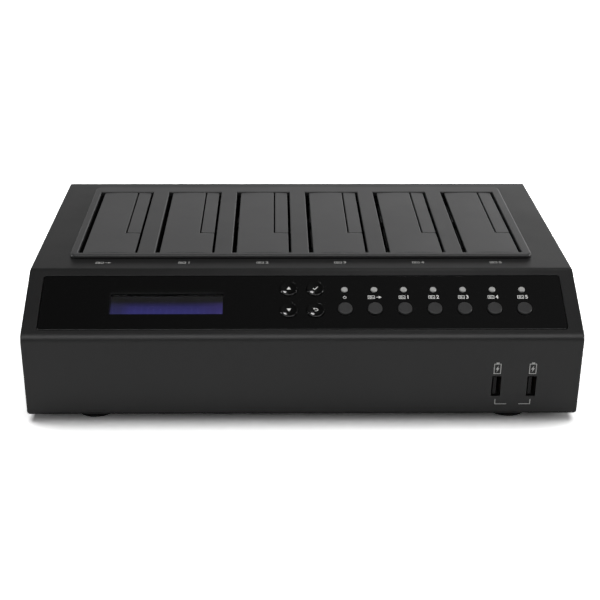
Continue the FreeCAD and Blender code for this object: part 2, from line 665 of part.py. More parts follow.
def base_tray():
    """Floor that closes the housing from below, with its lip, standoffs, foot seats and vents."""
    side = "(housing_width / 2 - wall - fit)"
    back = "(housing_depth / 2 - wall - fit)"
    floor = box("tray_floor", ("-" + side, "-" + back, "foot_height"), (side, back, TRAY_TOP))
    lip_top = TRAY_TOP + " + lip_height"
    rim = box("tray_rim", ("-" + side, "-" + back, "foot_height"), (side, back, lip_top))
    inside = box("tray_inside", ("-%s + lip_thick" % side, "-%s + lip_thick" % back, "foot_height"),
                 (side + " - lip_thick", back + " - lip_thick", lip_top + " + overcut"))
    solids = [floor, cut("tray_lip", rim, inside)]
    tools = []
    for x, y in main_standoffs() + charge_standoffs():
        solids.append(rod("standoff", "z", "standoff_radius", (x, y, "foot_height"),
                          "board_bottom - foot_height"))
        tools.append(rod("standoff_pilot", "z", "board_screw_radius + pin_play", (x, y, TRAY_TOP),
                         "board_bottom - foot_height"))
    for x, y in boss_places():
        tools.append(rod("screw_hole", "z", "case_screw_radius + fit", (x, y, "foot_height - overcut"),
                         "tray_thick + 2 * overcut"))
        tools.append(rod("screw_sink", "z", "case_screw_head + fit", (x, y, "foot_height - overcut"),
                         "tray_thick / 2 + overcut"))
    for x, y in foot_places():
        tools.append(rod("foot_seat_hole", "z", "foot_radius + fit", (x, y, "foot_height - overcut"),
                         "foot_seat + overcut"))
    for middle in FLOOR_VENT_GROUPS:
        for number in range(FLOOR_VENTS):
            x = "(%g + %g * vent_pitch)" % (middle, number - (FLOOR_VENTS - 1) / 2)
            tools.append(box("floor_vent",
                             (x + " - vent_width / 2", "-floor_vent_length / 2", "foot_height - overcut"),
                             (x + " + vent_width / 2", "floor_vent_length / 2", TRAY_TOP + " + overcut")))
    piece("base_tray", cut("tray", fuse("tray_solid", *solids), *tools))


def feet():
    """Four rubber feet, a little narrower at the ground."""
    solids = []
    for x, y in foot_places():
        foot = DOC.addObject("Part::Cone", "foot")
        bind(foot, "Radius1", "foot_radius - foot_taper")
        bind(foot, "Radius2", "foot_radius")
        bind(foot, "Height", "foot_height + foot_seat")
        solids.append(put(foot, x, y, "0"))
    piece("feet", group("foot_set", solids))


def case_screws():
    """Six pan-head screws that draw the tray against the housing's bosses."""
    solids = []
    sink = "(foot_height + tray_thick / 2)"
    for x, y in boss_places():
        head = rod("case_screw_head_disc", "z", "case_screw_head", (x, y, "foot_height + fit"),
                   sink + " - foot_height - fit")
        shank = rod("case_screw_shank", "z", "case_screw_radius", (x, y, "foot_height + fit"),
                    "case_screw_length + tray_thick / 2 - fit")
        solids.append(fuse("case_screw", head, shank))
    piece("case_screws", group("case_screw_set", solids))


# Bays with their surround, sleeves, doors, pins and springs

def bay_x(number):
    """Middle of one bay, counted from 0 at the left."""
    return "(%g * bay_pitch)" % (number - (BAYS - 1) / 2)


def bay_surround():
    """Raised frame round the six bays, with locating pegs behind."""
    body = new_body("surround")
    front = CREASE_Y + " + surround_front"
    back = CREASE_Y + " + surround_back"
    foot = sketch_on(body, "surround_foot", "XY_Plane", "housing_top")
    rectangle(foot, ("-surround_side + shadow_gap", front + " + shadow_gap"),
              ("surround_side - shadow_gap", back + " - shadow_gap"))
    pad(body, "surround_base", foot, "surround_height / 2")
    face = sketch_on(body, "surround_face", "XY_Plane", "housing_top + shadow_gap")
    rectangle(face, ("-surround_side", front), ("surround_side", back))
    pad(body, "surround_plate", face, "surround_height - shadow_gap")
    soften(body, "surround_corners", "Fillet", "surround_corner", lambda edge: runs_along(edge, "Z"))
    DOC.recompute()
    top = body.Shape.BoundBox.ZMax
    soften(body, "surround_rounds", "Fillet", "surround_round", lambda edge: lies_at(edge, "Z", top))
    opening = sketch_on(body, "bay_opening", "XY_Plane", SURROUND_TOP + " + overcut")
    rectangle(opening, (FIRST_BAY_X + " + " + WELL_LEFT, WELL_FRONT_Y),
              (FIRST_BAY_X + " + " + WELL_RIGHT, WELL_BACK_Y))
    first = pocket(body, "first_bay", opening, "surround_height + 2 * overcut")
    repeat(body, "bay_row", [first], "X_Axis", "%d * bay_pitch" % (BAYS - 1), BAYS)
    inside = body.Shape.BoundBox
    inside.enlarge(-SHEET.get("surround_round") - SHEET.get("opening_bevel"))
    soften(body, "opening_bevels", "Chamfer", "opening_bevel",
           lambda edge: lies_at(edge, "Z", top) and inside.XMin < edge.BoundBox.XMin
           and edge.BoundBox.XMax < inside.XMax and inside.YMin < edge.BoundBox.YMin
           and edge.BoundBox.YMax < inside.YMax)
    pegs = sketch_on(body, "peg_circles", "XY_Plane", "housing_top")
    for number in range(BAYS - 1):
        circle(pegs, ("%g * bay_pitch" % (number - (BAYS - 2) / 2), back + " - peg_inset"), "peg_radius")
    pad(body, "pegs", pegs, "peg_length", other_way=True)
    piece("bay_surround", body)


def drive_sleeve(number):
    """Well that guides one drive, with a pocket at its right for the small door when it is open."""
    x = bay_x(number)
    left = "%s + %s" % (x, WELL_LEFT)
    right = "%s + %s" % (x, WELL_RIGHT)
    pocket_side = "%s + %s" % (x, POCKET_RIGHT)
    pocket_floor = "housing_top - pocket_depth"
    under_skin = "housing_top - wall - fit"
    walls = fuse(
        "sleeve_walls",
        box("sleeve_outer", (left + " - sleeve_wall", WELL_FRONT_Y + " - sleeve_wall", "sleeve_bottom"),
            (right + " + sleeve_wall", WELL_BACK_Y + " + sleeve_wall", "housing_top")),
        box("pocket_outer", (right, POCKET_FRONT_Y + " - sleeve_wall", pocket_floor + " - pocket_wall"),
            (pocket_side + " + pocket_wall", WELL_BACK_Y + " + sleeve_wall", under_skin)),
        box("pocket_ends", (right, POCKET_FRONT_Y + " - sleeve_wall", pocket_floor),
            (pocket_side, WELL_BACK_Y + " + sleeve_wall", "housing_top")))
    slot_half = "(connector_length / 2 + 3 * fit)"
    slot_side = "(connector_width / 2 + 2 * fit)"
    over = "housing_top + overcut"
    tools = [
        box("well", (left, WELL_FRONT_Y, FLOOR_TOP), (right, WELL_BACK_Y, over)),
        box("pocket_space", (right + " - overcut", POCKET_FRONT_Y, pocket_floor),
            (pocket_side, WELL_BACK_Y, over)),
        box("connector_slot",
            ("%s + %s - %s" % (x, CONNECTOR_X, slot_side), "%s - %s" % (CONNECTOR_Y, slot_half),
             "sleeve_bottom - overcut"),
            ("%s + %s + %s" % (x, CONNECTOR_X, slot_side), "%s + %s" % (CONNECTOR_Y, slot_half),
             FLOOR_TOP + " + overcut")),
        rod("door_pin_hole", "y", "door_pin_radius + pin_play",
            (x + " - " + DOOR_PIN_X, WELL_FRONT_Y + " - sleeve_wall - overcut", DOOR_PIN_Z),
            "door_length + 2 * (end_gap + sleeve_wall + overcut)"),
        rod("small_pin_hole", "y", "small_pin_radius + pin_play",
            (x + " + " + SMALL_PIN_X, POCKET_FRONT_Y + " - sleeve_wall - overcut", SMALL_PIN_Z),
            "small_length + 2 * (end_gap + sleeve_wall + overcut)"),
    ]
    shell = cut("sleeve_shell", walls, *tools)
    guide_depth = "((door_length + 2 * end_gap - drive_width) / 2 - fit)"
    ribs = []
    for place in ("-door_width / 4", "door_width / 3"):
        for low, high in ((WELL_FRONT_Y, WELL_FRONT_Y + " + " + guide_depth),
                          (WELL_BACK_Y + " - " + guide_depth, WELL_BACK_Y)):
            ribs.append(box("guide_rib",
                            ("%s + %s - guide_width / 2" % (x, place), low, FLOOR_TOP),
                            ("%s + %s + guide_width / 2" % (x, place), high, FLOOR_TOP + " + guide_rise")))
    piece("drive_sleeve_%d" % (number + 1), fuse("sleeve", shell, *ribs))


def round_door(body, label):
    """Round the upright corners of a door's panel, then the whole rim of its crowned top."""
    soften(body, label + "_corners", "Fillet", "door_corner", lambda edge: runs_along(edge, "Z"))
    DOC.recompute()
    rim = body.Shape.BoundBox.ZMax - 1.5 * SHEET.get("door_crown")
    soften(body, label + "_rounds", "Fillet", "door_round", lambda edge: edge.BoundBox.ZMin > rim)


def bay_door(number):
    """Large door: crowned panel with a notch for the small door, and three knuckles on its left."""
    label = "bay_door_%d" % (number + 1)
    body = new_body(label)
    put(body, bay_x(number))
    half = "(door_width / 2)"
    under = DOOR_TOP + " - door_thick"
    profile = sketch_on(body, label + "_profile", "XZ_Plane", "-" + DOOR_FRONT_Y)
    edge_x = SHEET.get("door_width") / 2
    crowned_outline(profile, "-" + half, half, under, -edge_x, edge_x)
    pad(body, label + "_panel", profile, "door_length", other_way=True)
    notch = sketch_on(body, label + "_notch", "XY_Plane", SURROUND_TOP)
    notch_left = half + " - small_width - small_gap"
    rectangle(notch, (notch_left, SMALL_FRONT_Y + " - end_gap"),
              (half + " + overcut", DOOR_BACK_Y + " + overcut"))
    pocket(body, label + "_notch_cut", notch, "surround_height + door_thick")
    round_door(body, label)
    recesses = sketch_on(body, label + "_underside", "XY_Plane", under)
    left = "door_knuckle + door_rim - " + DOOR_PIN_X
    right = notch_left + " - door_rim"
    middle = "(%s + %s) / 2" % (DOOR_FRONT_Y, DOOR_BACK_Y)
    rectangle(recesses, (left, DOOR_FRONT_Y + " + door_rim"), (right, middle + " - door_rim / 2"))
    rectangle(recesses, (left, middle + " + door_rim / 2"), (right, DOOR_BACK_Y + " - door_rim"))
    pocket(body, label + "_underside_cut", recesses, "door_pocket", other_way=True)
    axis = ("-" + DOOR_PIN_X, DOOR_PIN_Z)
    start = "-(%s + knuckle_inset)" % DOOR_FRONT_Y
    rounds = sketch_on(body, label + "_knuckle", "XZ_Plane", start)
    circle(rounds, axis, "door_knuckle")
    knuckle = pad(body, label + "_knuckle_round", rounds, "door_knuckle_length", other_way=True)
    webs = sketch_on(body, label + "_web", "XZ_Plane", start)
    rectangle(webs, ("-" + DOOR_PIN_X, DOOR_PIN_Z),
              ("2 * door_knuckle - " + DOOR_PIN_X, under + " + door_pocket"))
    web = pad(body, label + "_knuckle_web", webs, "door_knuckle_length", other_way=True)
    repeat(body, label + "_knuckles", [knuckle, web], "Y_Axis",
           "door_length - 2 * knuckle_inset - door_knuckle_length", 3)
    bore = sketch_on(body, label + "_bore", "XZ_Plane", "-" + DOOR_FRONT_Y)
    circle(bore, axis, "door_pin_radius + pin_play")
    pocket(body, label + "_bore_cut", bore, "door_length")
    piece(label, body)


def small_door(number):
    """Small door in the notch of the large one, on two arms that reach under the surround."""
    label = "small_door_%d" % (number + 1)
    body = new_body(label)
    put(body, bay_x(number))
    right = "(door_width / 2)"
    left = "(door_width / 2 - small_width)"
    under = DOOR_TOP + " - small_thick"
    profile = sketch_on(body, label + "_profile", "XZ_Plane", "-" + SMALL_FRONT_Y)
    edge_x = SHEET.get("door_width") / 2
    crowned_outline(profile, left, right, under, edge_x - SHEET.get("small_width"), edge_x)
    pad(body, label + "_panel", profile, "small_length", other_way=True)
    round_door(body, label)
    start = "-(%s + small_arm_inset)" % SMALL_FRONT_Y
    arm = sketch_on(body, label + "_arm", "XZ_Plane", start)
    upper = SMALL_PIN_Z + " + small_knuckle"
    lower = SMALL_PIN_Z + " - small_knuckle"
    inside = under + " + small_thick / 3"
    root = right + " - small_arm_root"
    outline(arm, ((root, inside), (root + " + small_knuckle", lower), (SMALL_PIN_X, lower),
                  (SMALL_PIN_X, upper), (right + " - fit", upper), (right + " - fit", inside)))
    bar = pad(body, label + "_arm_bar", arm, "small_arm_length", other_way=True)
    rounds = sketch_on(body, label + "_knuckle", "XZ_Plane", start)
    axis = (SMALL_PIN_X, SMALL_PIN_Z)
    circle(rounds, axis, "small_knuckle")
    knuckle = pad(body, label + "_knuckle_round", rounds, "small_arm_length", other_way=True)
    repeat(body, label + "_arms", [bar, knuckle], "Y_Axis",
           "small_length - 2 * small_arm_inset - small_arm_length", 2)
    bore = sketch_on(body, label + "_bore", "XZ_Plane", "-" + SMALL_FRONT_Y)
    circle(bore, axis, "small_pin_radius + pin_play")
    pocket(body, label + "_bore_cut", bore, "small_length")
    piece(label, body)


def hinge_pins():
    """Steel pins of all doors, held in the end walls of the sleeves and of their pockets."""
    large = []
    small = []
    for number in range(BAYS):
        x = bay_x(number)
        large.append(rod("door_pin", "y", "door_pin_radius",
                         (x + " - " + DOOR_PIN_X, WELL_FRONT_Y + " - sleeve_wall", DOOR_PIN_Z),
                         "door_length + 2 * (end_gap + sleeve_wall)"))
        small.append(rod("small_pin", "y", "small_pin_radius",
                         (x + " + " + SMALL_PIN_X, POCKET_FRONT_Y + " - sleeve_wall", SMALL_PIN_Z),
                         "small_length + 2 * (end_gap + sleeve_wall)"))
    piece("bay_door_pins", group("door_pin_set", large))
    piece("small_door_pins", group("small_pin_set", small))


def coil_sleeve(name, x, y, z, outer, bore, wire, leg):
    """Closed outer form of one spring's coil round its pin, with the leg that bears on the wall."""
    tube = cut(name + "_coil", rod(name + "_outer", "y", outer, (x, y, z), "coil_length"),
               rod(name + "_bore", "y", bore, (x, y + " - overcut", z), "coil_length + 2 * overcut"))
    start = (x + leg[0], "%s + 1.5 * %s" % (y, wire), "%s - (%s + %s) / 2" % (z, outer, bore))
    return fuse(name, tube, rod(name + "_leg", "x", wire, start, leg[1]))


def door_springs():
    """Torsion springs that close the doors, one on each pin."""
    large = []
    small = []
    middle = "(%s + door_length / 2 + door_knuckle_length / 2 + 2 * fit)" % DOOR_FRONT_Y
    small_middle = "(%s + small_length / 2 - coil_length / 2)" % SMALL_FRONT_Y
    reach = "(hinge_gap + door_pin_inset - fit)"
    for number in range(BAYS):
        x = bay_x(number)
        large.append(coil_sleeve("door_spring", x + " - " + DOOR_PIN_X, middle, DOOR_PIN_Z, "door_coil",
                                 "door_pin_radius + coil_bore_gap", "door_wire",
                                 (" - " + reach, reach)))
        small.append(coil_sleeve("small_spring", x + " + " + SMALL_PIN_X, small_middle, SMALL_PIN_Z,
                                 "small_coil", "small_pin_radius + coil_bore_gap", "small_wire",
                                 ("", "small_knuckle")))
    piece("bay_door_springs", group("door_spring_set", large))
    piece("small_door_springs", group("small_spring_set", small))


# Control panel with its fascia, display, buttons and lights

def fascia():
    """Gloss plate in the panel's recess, with holes for the display, lights and buttons."""
    body = rounded_plate("fascia_plate", "0", "fascia_thick")
    soften(body, "fascia_bevels", "Chamfer", "fascia_bevel", lambda edge: lies_at(edge, "Z", 0))
    holes = sketch_on(body, "fascia_holes", "XY_Plane", "overcut")
    rectangle(holes, ("display_x - display_width / 2", "-display_s - display_height / 2"),
              ("display_x + display_width / 2", "-display_s + display_height / 2"))
    for x in key_places():
        circle(holes, (x, "-key_s"), "key_radius + key_gap")
        circle(holes, (x, "-light_s"), "light_radius + key_gap / 2")
    for x, s in menu_places():
        circle(holes, (x, "-(%s)" % s), "menu_radius + key_gap")
    pocket(body, "fascia_cuts", holes, "fascia_thick + 2 * overcut")
    on_panel(body)
    piece("fascia", body)


def display():
    """Clear window behind the fascia, and the character display module behind it."""
    half = "(display_width / 2 + window_margin)"
    tall = "(display_height / 2 + window_margin)"
    piece("display_window", panel_box(
        "window", ("display_x - " + half, "display_s - " + tall, "-fascia_thick - window_thick"),
        ("display_x + " + half, "display_s + " + tall, "-fascia_thick")))
    front = "-wall - fit"
    back = front + " - bezel_depth"
    frame = panel_box("module_frame",
                        ("display_x - bezel_width / 2", "display_s - bezel_height / 2", back),
                        ("display_x + bezel_width / 2", "display_s + bezel_height / 2", front))
    glass = panel_box("module_glass",
                        ("display_x - display_width / 2", "display_s - display_height / 2", front + " - 1"),
                        ("display_x + display_width / 2", "display_s + display_height / 2", "0"))
    board = panel_box("module_board",
                        ("display_x - module_width / 2", "display_s - module_height / 2",
                         back + " - board_thick"),
                        ("display_x + module_width / 2", "display_s + module_height / 2", back))
    piece("display_module", fuse("module", cut("module_front", frame, glass), board))


def button_cap(name, radius, rise):
    """Round cap turned on its axis, with a flange under the panel and a stem to its switch."""
    body = new_body(name)
    half = sketch_on(body, name + "_half", "XZ_Plane")
    flange_top = "-wall - fit"
    flange_under = flange_top + " - key_flange_thick"
    outline(half, (("0", KEY_STEM_END), ("plunger_radius", KEY_STEM_END), ("plunger_radius", flange_under),
                   (radius + " + key_flange", flange_under), (radius + " + key_flange", flange_top),
                   (radius, flange_top), (radius, rise), ("0", rise)))
    turned = body.newObject("PartDesign::Revolution", name + "_turn")
    turned.Profile = half
    turned.ReferenceAxis = (half, ["V_Axis"])
    turned.Angle = 360
    body.Tip = turned
    top = SHEET.get(rise)
    soften(body, name + "_round", "Fillet", "key_edge", lambda edge: lies_at(edge, "Z", top))
    return body


def buttons():
    """Four dished menu buttons and seven flat round ones, each free to slide into the panel."""
    rim = "(menu_radius - 2 * key_edge)"
    dish_radius = "((%s^2 + menu_dish^2) / (2 * menu_dish))" % rim
    for (name, across, down), (x, s) in zip(MENU, menu_places()):
        label = "menu_button_" + name
        cap = on_panel(button_cap(label + "_cap", "menu_radius", "menu_rise"), x, s)
        ball = DOC.addObject("Part::Sphere", label + "_ball")
        bind(ball, "Radius", dish_radius)
        on_panel(ball, x, s, "menu_rise - menu_dish + " + dish_radius)
        piece(label, cut(label, cap, ball))
    for label, x in zip(KEYS, key_places()):
        piece(label, on_panel(button_cap(label, "key_radius", "key_rise"), x, "key_s"))


def status_lights():
    """Light pipes from the button board to the fascia, one over each round button, with raised lenses."""
    pipes = []
    for x in key_places():
        pipe = panel_rod("light_pipe", x, "light_s", "light_radius", "2 * fit - panel_board_drop", "0")
        lens = DOC.addObject("Part::Cone", "light_lens")
        bind(lens, "Radius1", "light_radius")
        bind(lens, "Radius2", "light_radius - light_lens")
        bind(lens, "Height", "light_lens")
        pipes.append(fuse("status_light", pipe, on_panel(lens, x, "light_s")))
    piece("status_lights", group("light_set", pipes))


def button_board():
    """Circuit board behind the buttons, on the panel's bosses, and the push switches on it."""
    edge = "panel_boss_radius - board_margin"
    low = ("%g - %s" % (PANEL_BOSSES[0][0], edge), "menu_s - menu_pitch + board_margin",
           "-panel_board_drop - board_thick")
    high = ("%g + panel_boss_radius + board_margin" % PANEL_BOSSES[-1][0], "menu_s + menu_pitch",
            "-panel_board_drop")
    piece("button_board", panel_box("keys_board", low, high))
    case_top = "-panel_board_drop + switch_height"
    switches = []
    for x, s in menu_places() + [(x, "key_s") for x in key_places()]:
        case = panel_box("switch_case",
                         (x + " - switch_side / 2", s + " - switch_side / 2", "-panel_board_drop"),
                         (x + " + switch_side / 2", s + " + switch_side / 2", case_top))
        plunger = panel_rod("switch_plunger", x, s, "plunger_radius",
                            case_top, case_top + " + plunger_rise")
        switches.append(fuse("push_switch", case, plunger))
    piece("push_switches", group("switch_set", switches))


# Circuit boards, connectors and ports

def drilled_board(name, low, high, places):
    """Level circuit board with a screw hole over each of its standoffs."""
    holes = [rod(name + "_hole", "z", "board_screw_radius + fit", (x, y, "board_bottom - overcut"),
                 "board_thick + 2 * overcut") for x, y in places]
    return cut(name, box(name + "_blank", low, high), *holes)


def boards():
    """Main board under the sleeves and the small charging board behind the front ports."""
    main = drilled_board("main_plate", ("-" + BOARD_SIDE, BOARD_FRONT, "board_bottom"),
                         (BOARD_SIDE, BOARD_BACK, BOARD_TOP), main_standoffs())
    notch = "(boss_radius + 2 * fit)"
    boss_notch = box("boss_notch",
                     ("middle_boss_x - " + notch, BOSS_Y + " - " + notch, "board_bottom - overcut"),
                     ("middle_boss_x + " + notch, BACK_Y, BOARD_TOP + " + overcut"))
    piece("main_board", cut("notched_plate", main, boss_notch))
    half = "(port_pitch / 2 + port_height)"
    places = charge_standoffs()
    low = ("%s - %s" % (PORT_X, half), FRONT_Y + " + wall + 2 * fit", "board_bottom")
    high = ("%s + %s" % (PORT_X, half), places[0][1] + " + 2 * standoff_radius", BOARD_TOP)
    piece("charge_board", drilled_board("charge_plate", low, high, places))
    screws = []
    for x, y in main_standoffs() + charge_standoffs():
        head = rod("board_screw_disc", "z", "board_screw_head", (x, y, BOARD_TOP), "board_thick")
        shank = rod("board_screw_shank", "z", "board_screw_radius", (x, y, TRAY_TOP + " + fit"),
                    "board_bottom + 2 * board_thick - %s - fit" % TRAY_TOP)
        screws.append(fuse("board_screw", head, shank))
    piece("board_screws", group("board_screw_set", screws))


def chip(name, x, y, side):
    """Square chip on the main board, given its middle."""
    return box(name, ("%s - %s / 2" % (x, side), "%s - %s / 2" % (y, side), BOARD_TOP),
               ("%s + %s / 2" % (x, side), "%s + %s / 2" % (y, side), BOARD_TOP + " + chip_thick"))


def board_chips():
    """One bridge chip in front of each drive connector, and one larger controller."""
    chips = [chip("bridge_chip", bay_x(number), BOARD_FRONT + " + 2 * bridge_chip", "bridge_chip")
             for number in range(BAYS)]
    chips.append(chip("controller_chip", "(-host_x)", BACK_Y + " - controller_chip", "controller_chip"))
    piece("board_chips", group("chip_set", chips))


def drive_connectors():
    """Upright drive sockets on the main board, each with a long power slot and a short data slot."""
    sockets = []
    top = FLOOR_TOP + " + connector_rise"
    for number in range(BAYS):
        x = "(%s + %s)" % (bay_x(number), CONNECTOR_X)
        body = box("socket_body",
                   (x + " - connector_width / 2", CONNECTOR_Y + " - connector_length / 2", BOARD_TOP),
                   (x + " + connector_width / 2", CONNECTOR_Y + " + connector_length / 2", top))
        slots = [box("socket_slot",
                     (x + " - slot_width / 2", "%s + %s" % (CONNECTOR_Y, low), top + " - connector_rise"),
                     (x + " + slot_width / 2", "%s + %s" % (CONNECTOR_Y, high), top + " + overcut"))
                 for low, high in (("slot_split - power_slot", "slot_split"),
                                   ("slot_split + slot_width", "slot_split + slot_width + data_slot"))]
        sockets.append(cut("drive_socket", body, *slots))
    piece("drive_connectors", group("socket_set", sockets))


def charge_ports():
    """Two upright charging ports behind the front wall: sheet shells and the tongues in them."""
    shells = []
    tongues = []
    front = FRONT_Y + " + wall"
    back = front + " + port_depth"
    for side in (-0.5, 0.5):
        left = "%s + %g * port_pitch - port_width / 2" % (PORT_X, side)
        right = "%s + %g * port_pitch + port_width / 2" % (PORT_X, side)
        low = "port_z - port_height / 2"
        high = "port_z + port_height / 2"
        outer = box("port_outer", (left + " - shell_thick", front, low + " - shell_thick"),
                    (right + " + shell_thick", back, high + " + shell_thick"))
        inner = box("port_inner", (left, front + " - overcut", low),
                    (right, back + " + overcut", high))
        shells.append(cut("port_shell", outer, inner))
        plug = box("tongue_root", (left + " + fit / 2", back + " - tongue_root", low + " + fit / 2"),
                   (right + " - fit / 2", back, high + " - fit / 2"))
        blade = box("tongue_blade",
                    (left + " + tongue_gap", FRONT_Y + " + tongue_set_back", low + " + tongue_end"),
                    (left + " + tongue_gap + tongue_thick", back, high + " - tongue_end"))
        tongues.append(fuse("port_tongue", plug, blade))
    piece("charge_port_shells", group("shell_set", shells))
    piece("charge_port_tongues", group("tongue_set", tongues))


def power_inlet():
    """Round power inlet: square body on the board, collar in the back wall and a centre pin."""
    middle = BOARD_TOP + " + inlet_body / 2"
    inside = BACK_Y + " - wall - fit"
    mouth = BACK_Y + " - fit"
    block = box("inlet_block", ("inlet_x - inlet_body / 2", inside + " - inlet_depth", BOARD_TOP),
                ("inlet_x + inlet_body / 2", inside, BOARD_TOP + " + inlet_body"))
    collar = rod("inlet_collar", "y", "inlet_barrel", ("inlet_x", inside + " - overcut", middle),
                 "wall + overcut")
    bore = rod("inlet_bore_hole", "y", "inlet_bore", ("inlet_x", mouth + " - inlet_reach", middle),
               "inlet_reach + overcut")
    pin = rod("inlet_centre_pin", "y", "inlet_pin", ("inlet_x", mouth + " - inlet_reach - overcut", middle),
              "inlet_reach")
    piece("power_inlet", fuse("inlet", cut("inlet_socket", fuse("inlet_solid", block, collar), bore), pin))


def host_socket(label, x, width, height, depth, tongue):
    """Rectangular host port with an open mouth and a tongue in it."""
    back = BACK_Y + " - fit"
    skin = "2 * shell_thick"
    shell = box(label + "_shell", ("%s - %s / 2" % (x, width), "%s - %s" % (back, depth), BOARD_TOP),
                ("%s + %s / 2" % (x, width), back, "%s + %s" % (BOARD_TOP, height)))
    mouth = box(label + "_mouth",
                ("%s - %s / 2 + %s" % (x, width, skin), back + " - mouth_depth",
                 "%s + %s" % (BOARD_TOP, skin)),
                ("%s + %s / 2 - %s" % (x, width, skin), back + " + overcut",
                 "%s + %s - %s" % (BOARD_TOP, height, skin)))
    blade = box(label + "_blade",
                ("%s - %s / 2 + 4 * %s" % (x, width, skin), back + " - mouth_depth - overcut",
                 "%s + %s / 2 - %s / 2" % (BOARD_TOP, height, tongue)),
                ("%s + %s / 2 - 4 * %s" % (x, width, skin), back + " - overcut",
                 "%s + %s / 2 + %s / 2" % (BOARD_TOP, height, tongue)))
    piece(label, fuse(label + "_whole", cut(label + "_open", shell, mouth), blade))


def rear_ports():
    """Power inlet and the two host ports at the back edge of the main board."""
    power_inlet()
    host_socket("host_port", "host_x", "host_width", "host_height", "host_depth", "host_tongue")
    host_socket("link_port", "link_x", "link_width", "link_height", "link_depth", "link_tongue")


def check_document():
    """Stop if any object of the document failed, or a sub-part has no sound shape."""
    for thing in DOC.Objects:
        if "Invalid" in thing.State or "Error" in thing.State:
            raise ValueError("%s (%s) failed: %s" % (thing.Name, thing.Label, thing.State))
    for label, thing in PIECES.items():
        shape = thing.Shape
        if shape.isNull() or not shape.isValid() or not shape.Solids:
            raise ValueError("%s has no sound shape" % label)


def write_parts():
    os.makedirs("parts", exist_ok=True)
    for label, thing in PIECES.items():
        thing.Shape.exportStep(os.path.join("parts", label + ".step"))


fill_sheet()
upper_housing()
base_tray()
feet()
case_screws()
bay_surround()
for bay in range(BAYS):
    drive_sleeve(bay)
    bay_door(bay)
    small_door(bay)
hinge_pins()
door_springs()
fascia()
display()
buttons()
status_lights()
button_board()
boards()
board_chips()
drive_connectors()
charge_ports()
rear_ports()
DOC.recompute()
check_document()
write_parts()
print("%d sub-parts written" % len(PIECES))
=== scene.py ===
"""Looks of a low drive dock with twin doors over each bay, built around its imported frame, in metres."""

import json
import math

import bmesh
import bpy
from mathutils import Matrix, Vector


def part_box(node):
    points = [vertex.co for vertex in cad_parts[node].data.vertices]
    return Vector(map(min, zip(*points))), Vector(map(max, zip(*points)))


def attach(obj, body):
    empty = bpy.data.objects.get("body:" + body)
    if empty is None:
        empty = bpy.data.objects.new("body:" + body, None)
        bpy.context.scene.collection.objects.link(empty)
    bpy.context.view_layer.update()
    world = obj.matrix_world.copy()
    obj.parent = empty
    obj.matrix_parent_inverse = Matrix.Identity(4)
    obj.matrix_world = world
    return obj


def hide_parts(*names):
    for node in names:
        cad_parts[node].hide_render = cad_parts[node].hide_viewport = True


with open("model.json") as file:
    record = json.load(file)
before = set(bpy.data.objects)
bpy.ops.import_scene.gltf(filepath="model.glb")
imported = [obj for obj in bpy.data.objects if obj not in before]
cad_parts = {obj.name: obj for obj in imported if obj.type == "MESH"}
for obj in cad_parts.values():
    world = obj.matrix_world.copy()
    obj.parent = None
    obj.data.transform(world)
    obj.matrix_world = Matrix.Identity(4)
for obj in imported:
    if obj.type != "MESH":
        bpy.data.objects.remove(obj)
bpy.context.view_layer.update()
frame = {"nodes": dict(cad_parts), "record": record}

MM = 0.001

# Bays, in the frame's own measures
BAYS = 6
BAY_PITCH = 45 * MM
HOUSING_LOW, HOUSING_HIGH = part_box("upper_housing")
FRONT_Y = HOUSING_LOW.y
TOP_Z = HOUSING_HIGH.z

# Height under which the doors' inner sides get painted shade
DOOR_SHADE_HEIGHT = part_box("bay_door_1")[1].z - 0.9 * MM

# The sloping panel: a plane whose x runs along it, whose y runs up its slope and whose z leaves its face
PANEL_ANGLE = math.radians(28.9)
PANEL_LENGTH = 47.9 * MM
CREASE_Y = FRONT_Y + PANEL_LENGTH * math.cos(PANEL_ANGLE)
PANEL = Matrix.Translation((0, CREASE_Y, TOP_Z)) @ Matrix.Rotation(PANEL_ANGLE, 4, "X")

# Buttons and lights on the panel, in millimetres across and down from the top crease
MENU_BUTTONS = {"up": (-7.55, 14.45), "enter": (7.35, 14.45), "down": (-7.55, 29.35), "back": (7.35, 29.35)}
MENU_DISH_LIFT = 0.45
MENU_DISH_RADIUS = 19.83
LIGHT_X = 23.8
LIGHT_PITCH = 16.68
SYMBOL_S = 20.4

# Charging ports in the front face, in millimetres
PORT_X = (108.2, 127.9)
PORT_Z = 21.3

# Display behind its window, in millimetres
DISPLAY_X = -76
DISPLAY_S = 24.6
DISPLAY_SIZE = (63, 14.6)
GLASS_LIFT = -3.75

# Case screws underneath, in millimetres
SCREW_X = (-146.5, -24.0, 146.5)
SCREW_HEAD = 2.8
CROSS_LENGTH = 3.0
CROSS_WIDTH = 0.75
CROSS_DEPTH = 0.03

# Thickness of print, and how far it stands off the face under it, in millimetres
INK = 0.02
INK_LIFT = 0.01

# Height and line of the signs, in millimetres: under the lights, and in front of the bays
LIGHT_SIGN = (2.3, 0.3)
BAY_SIGN = (2.7, 0.4)
BAY_SIGN_BACK = 9.2
SOURCE_SIGN_SHIFT = -1.9
MENU_LINE = 0.38
TICK_LINE = 0.42

# Battery signs and the bracket under the charging ports, in millimetres
BATTERY_Z = 32.6
BATTERY_LINE = 0.42
BRACKET_Z = 10.1
BRACKET_LINE = 0.36
BRACKET_RISE = 3.0
BRACKET_GAP = 3.4

# Figures: size of the type for a figure one unit high, and how much its strokes are thickened
FIGURE_TYPE = 1.38
FIGURE_WEIGHT = 0.03

# Least share that a mitred corner may take of its line's width, and gap under which points are welded
MITRE_LEAST = 0.3
WELD = 0.0005

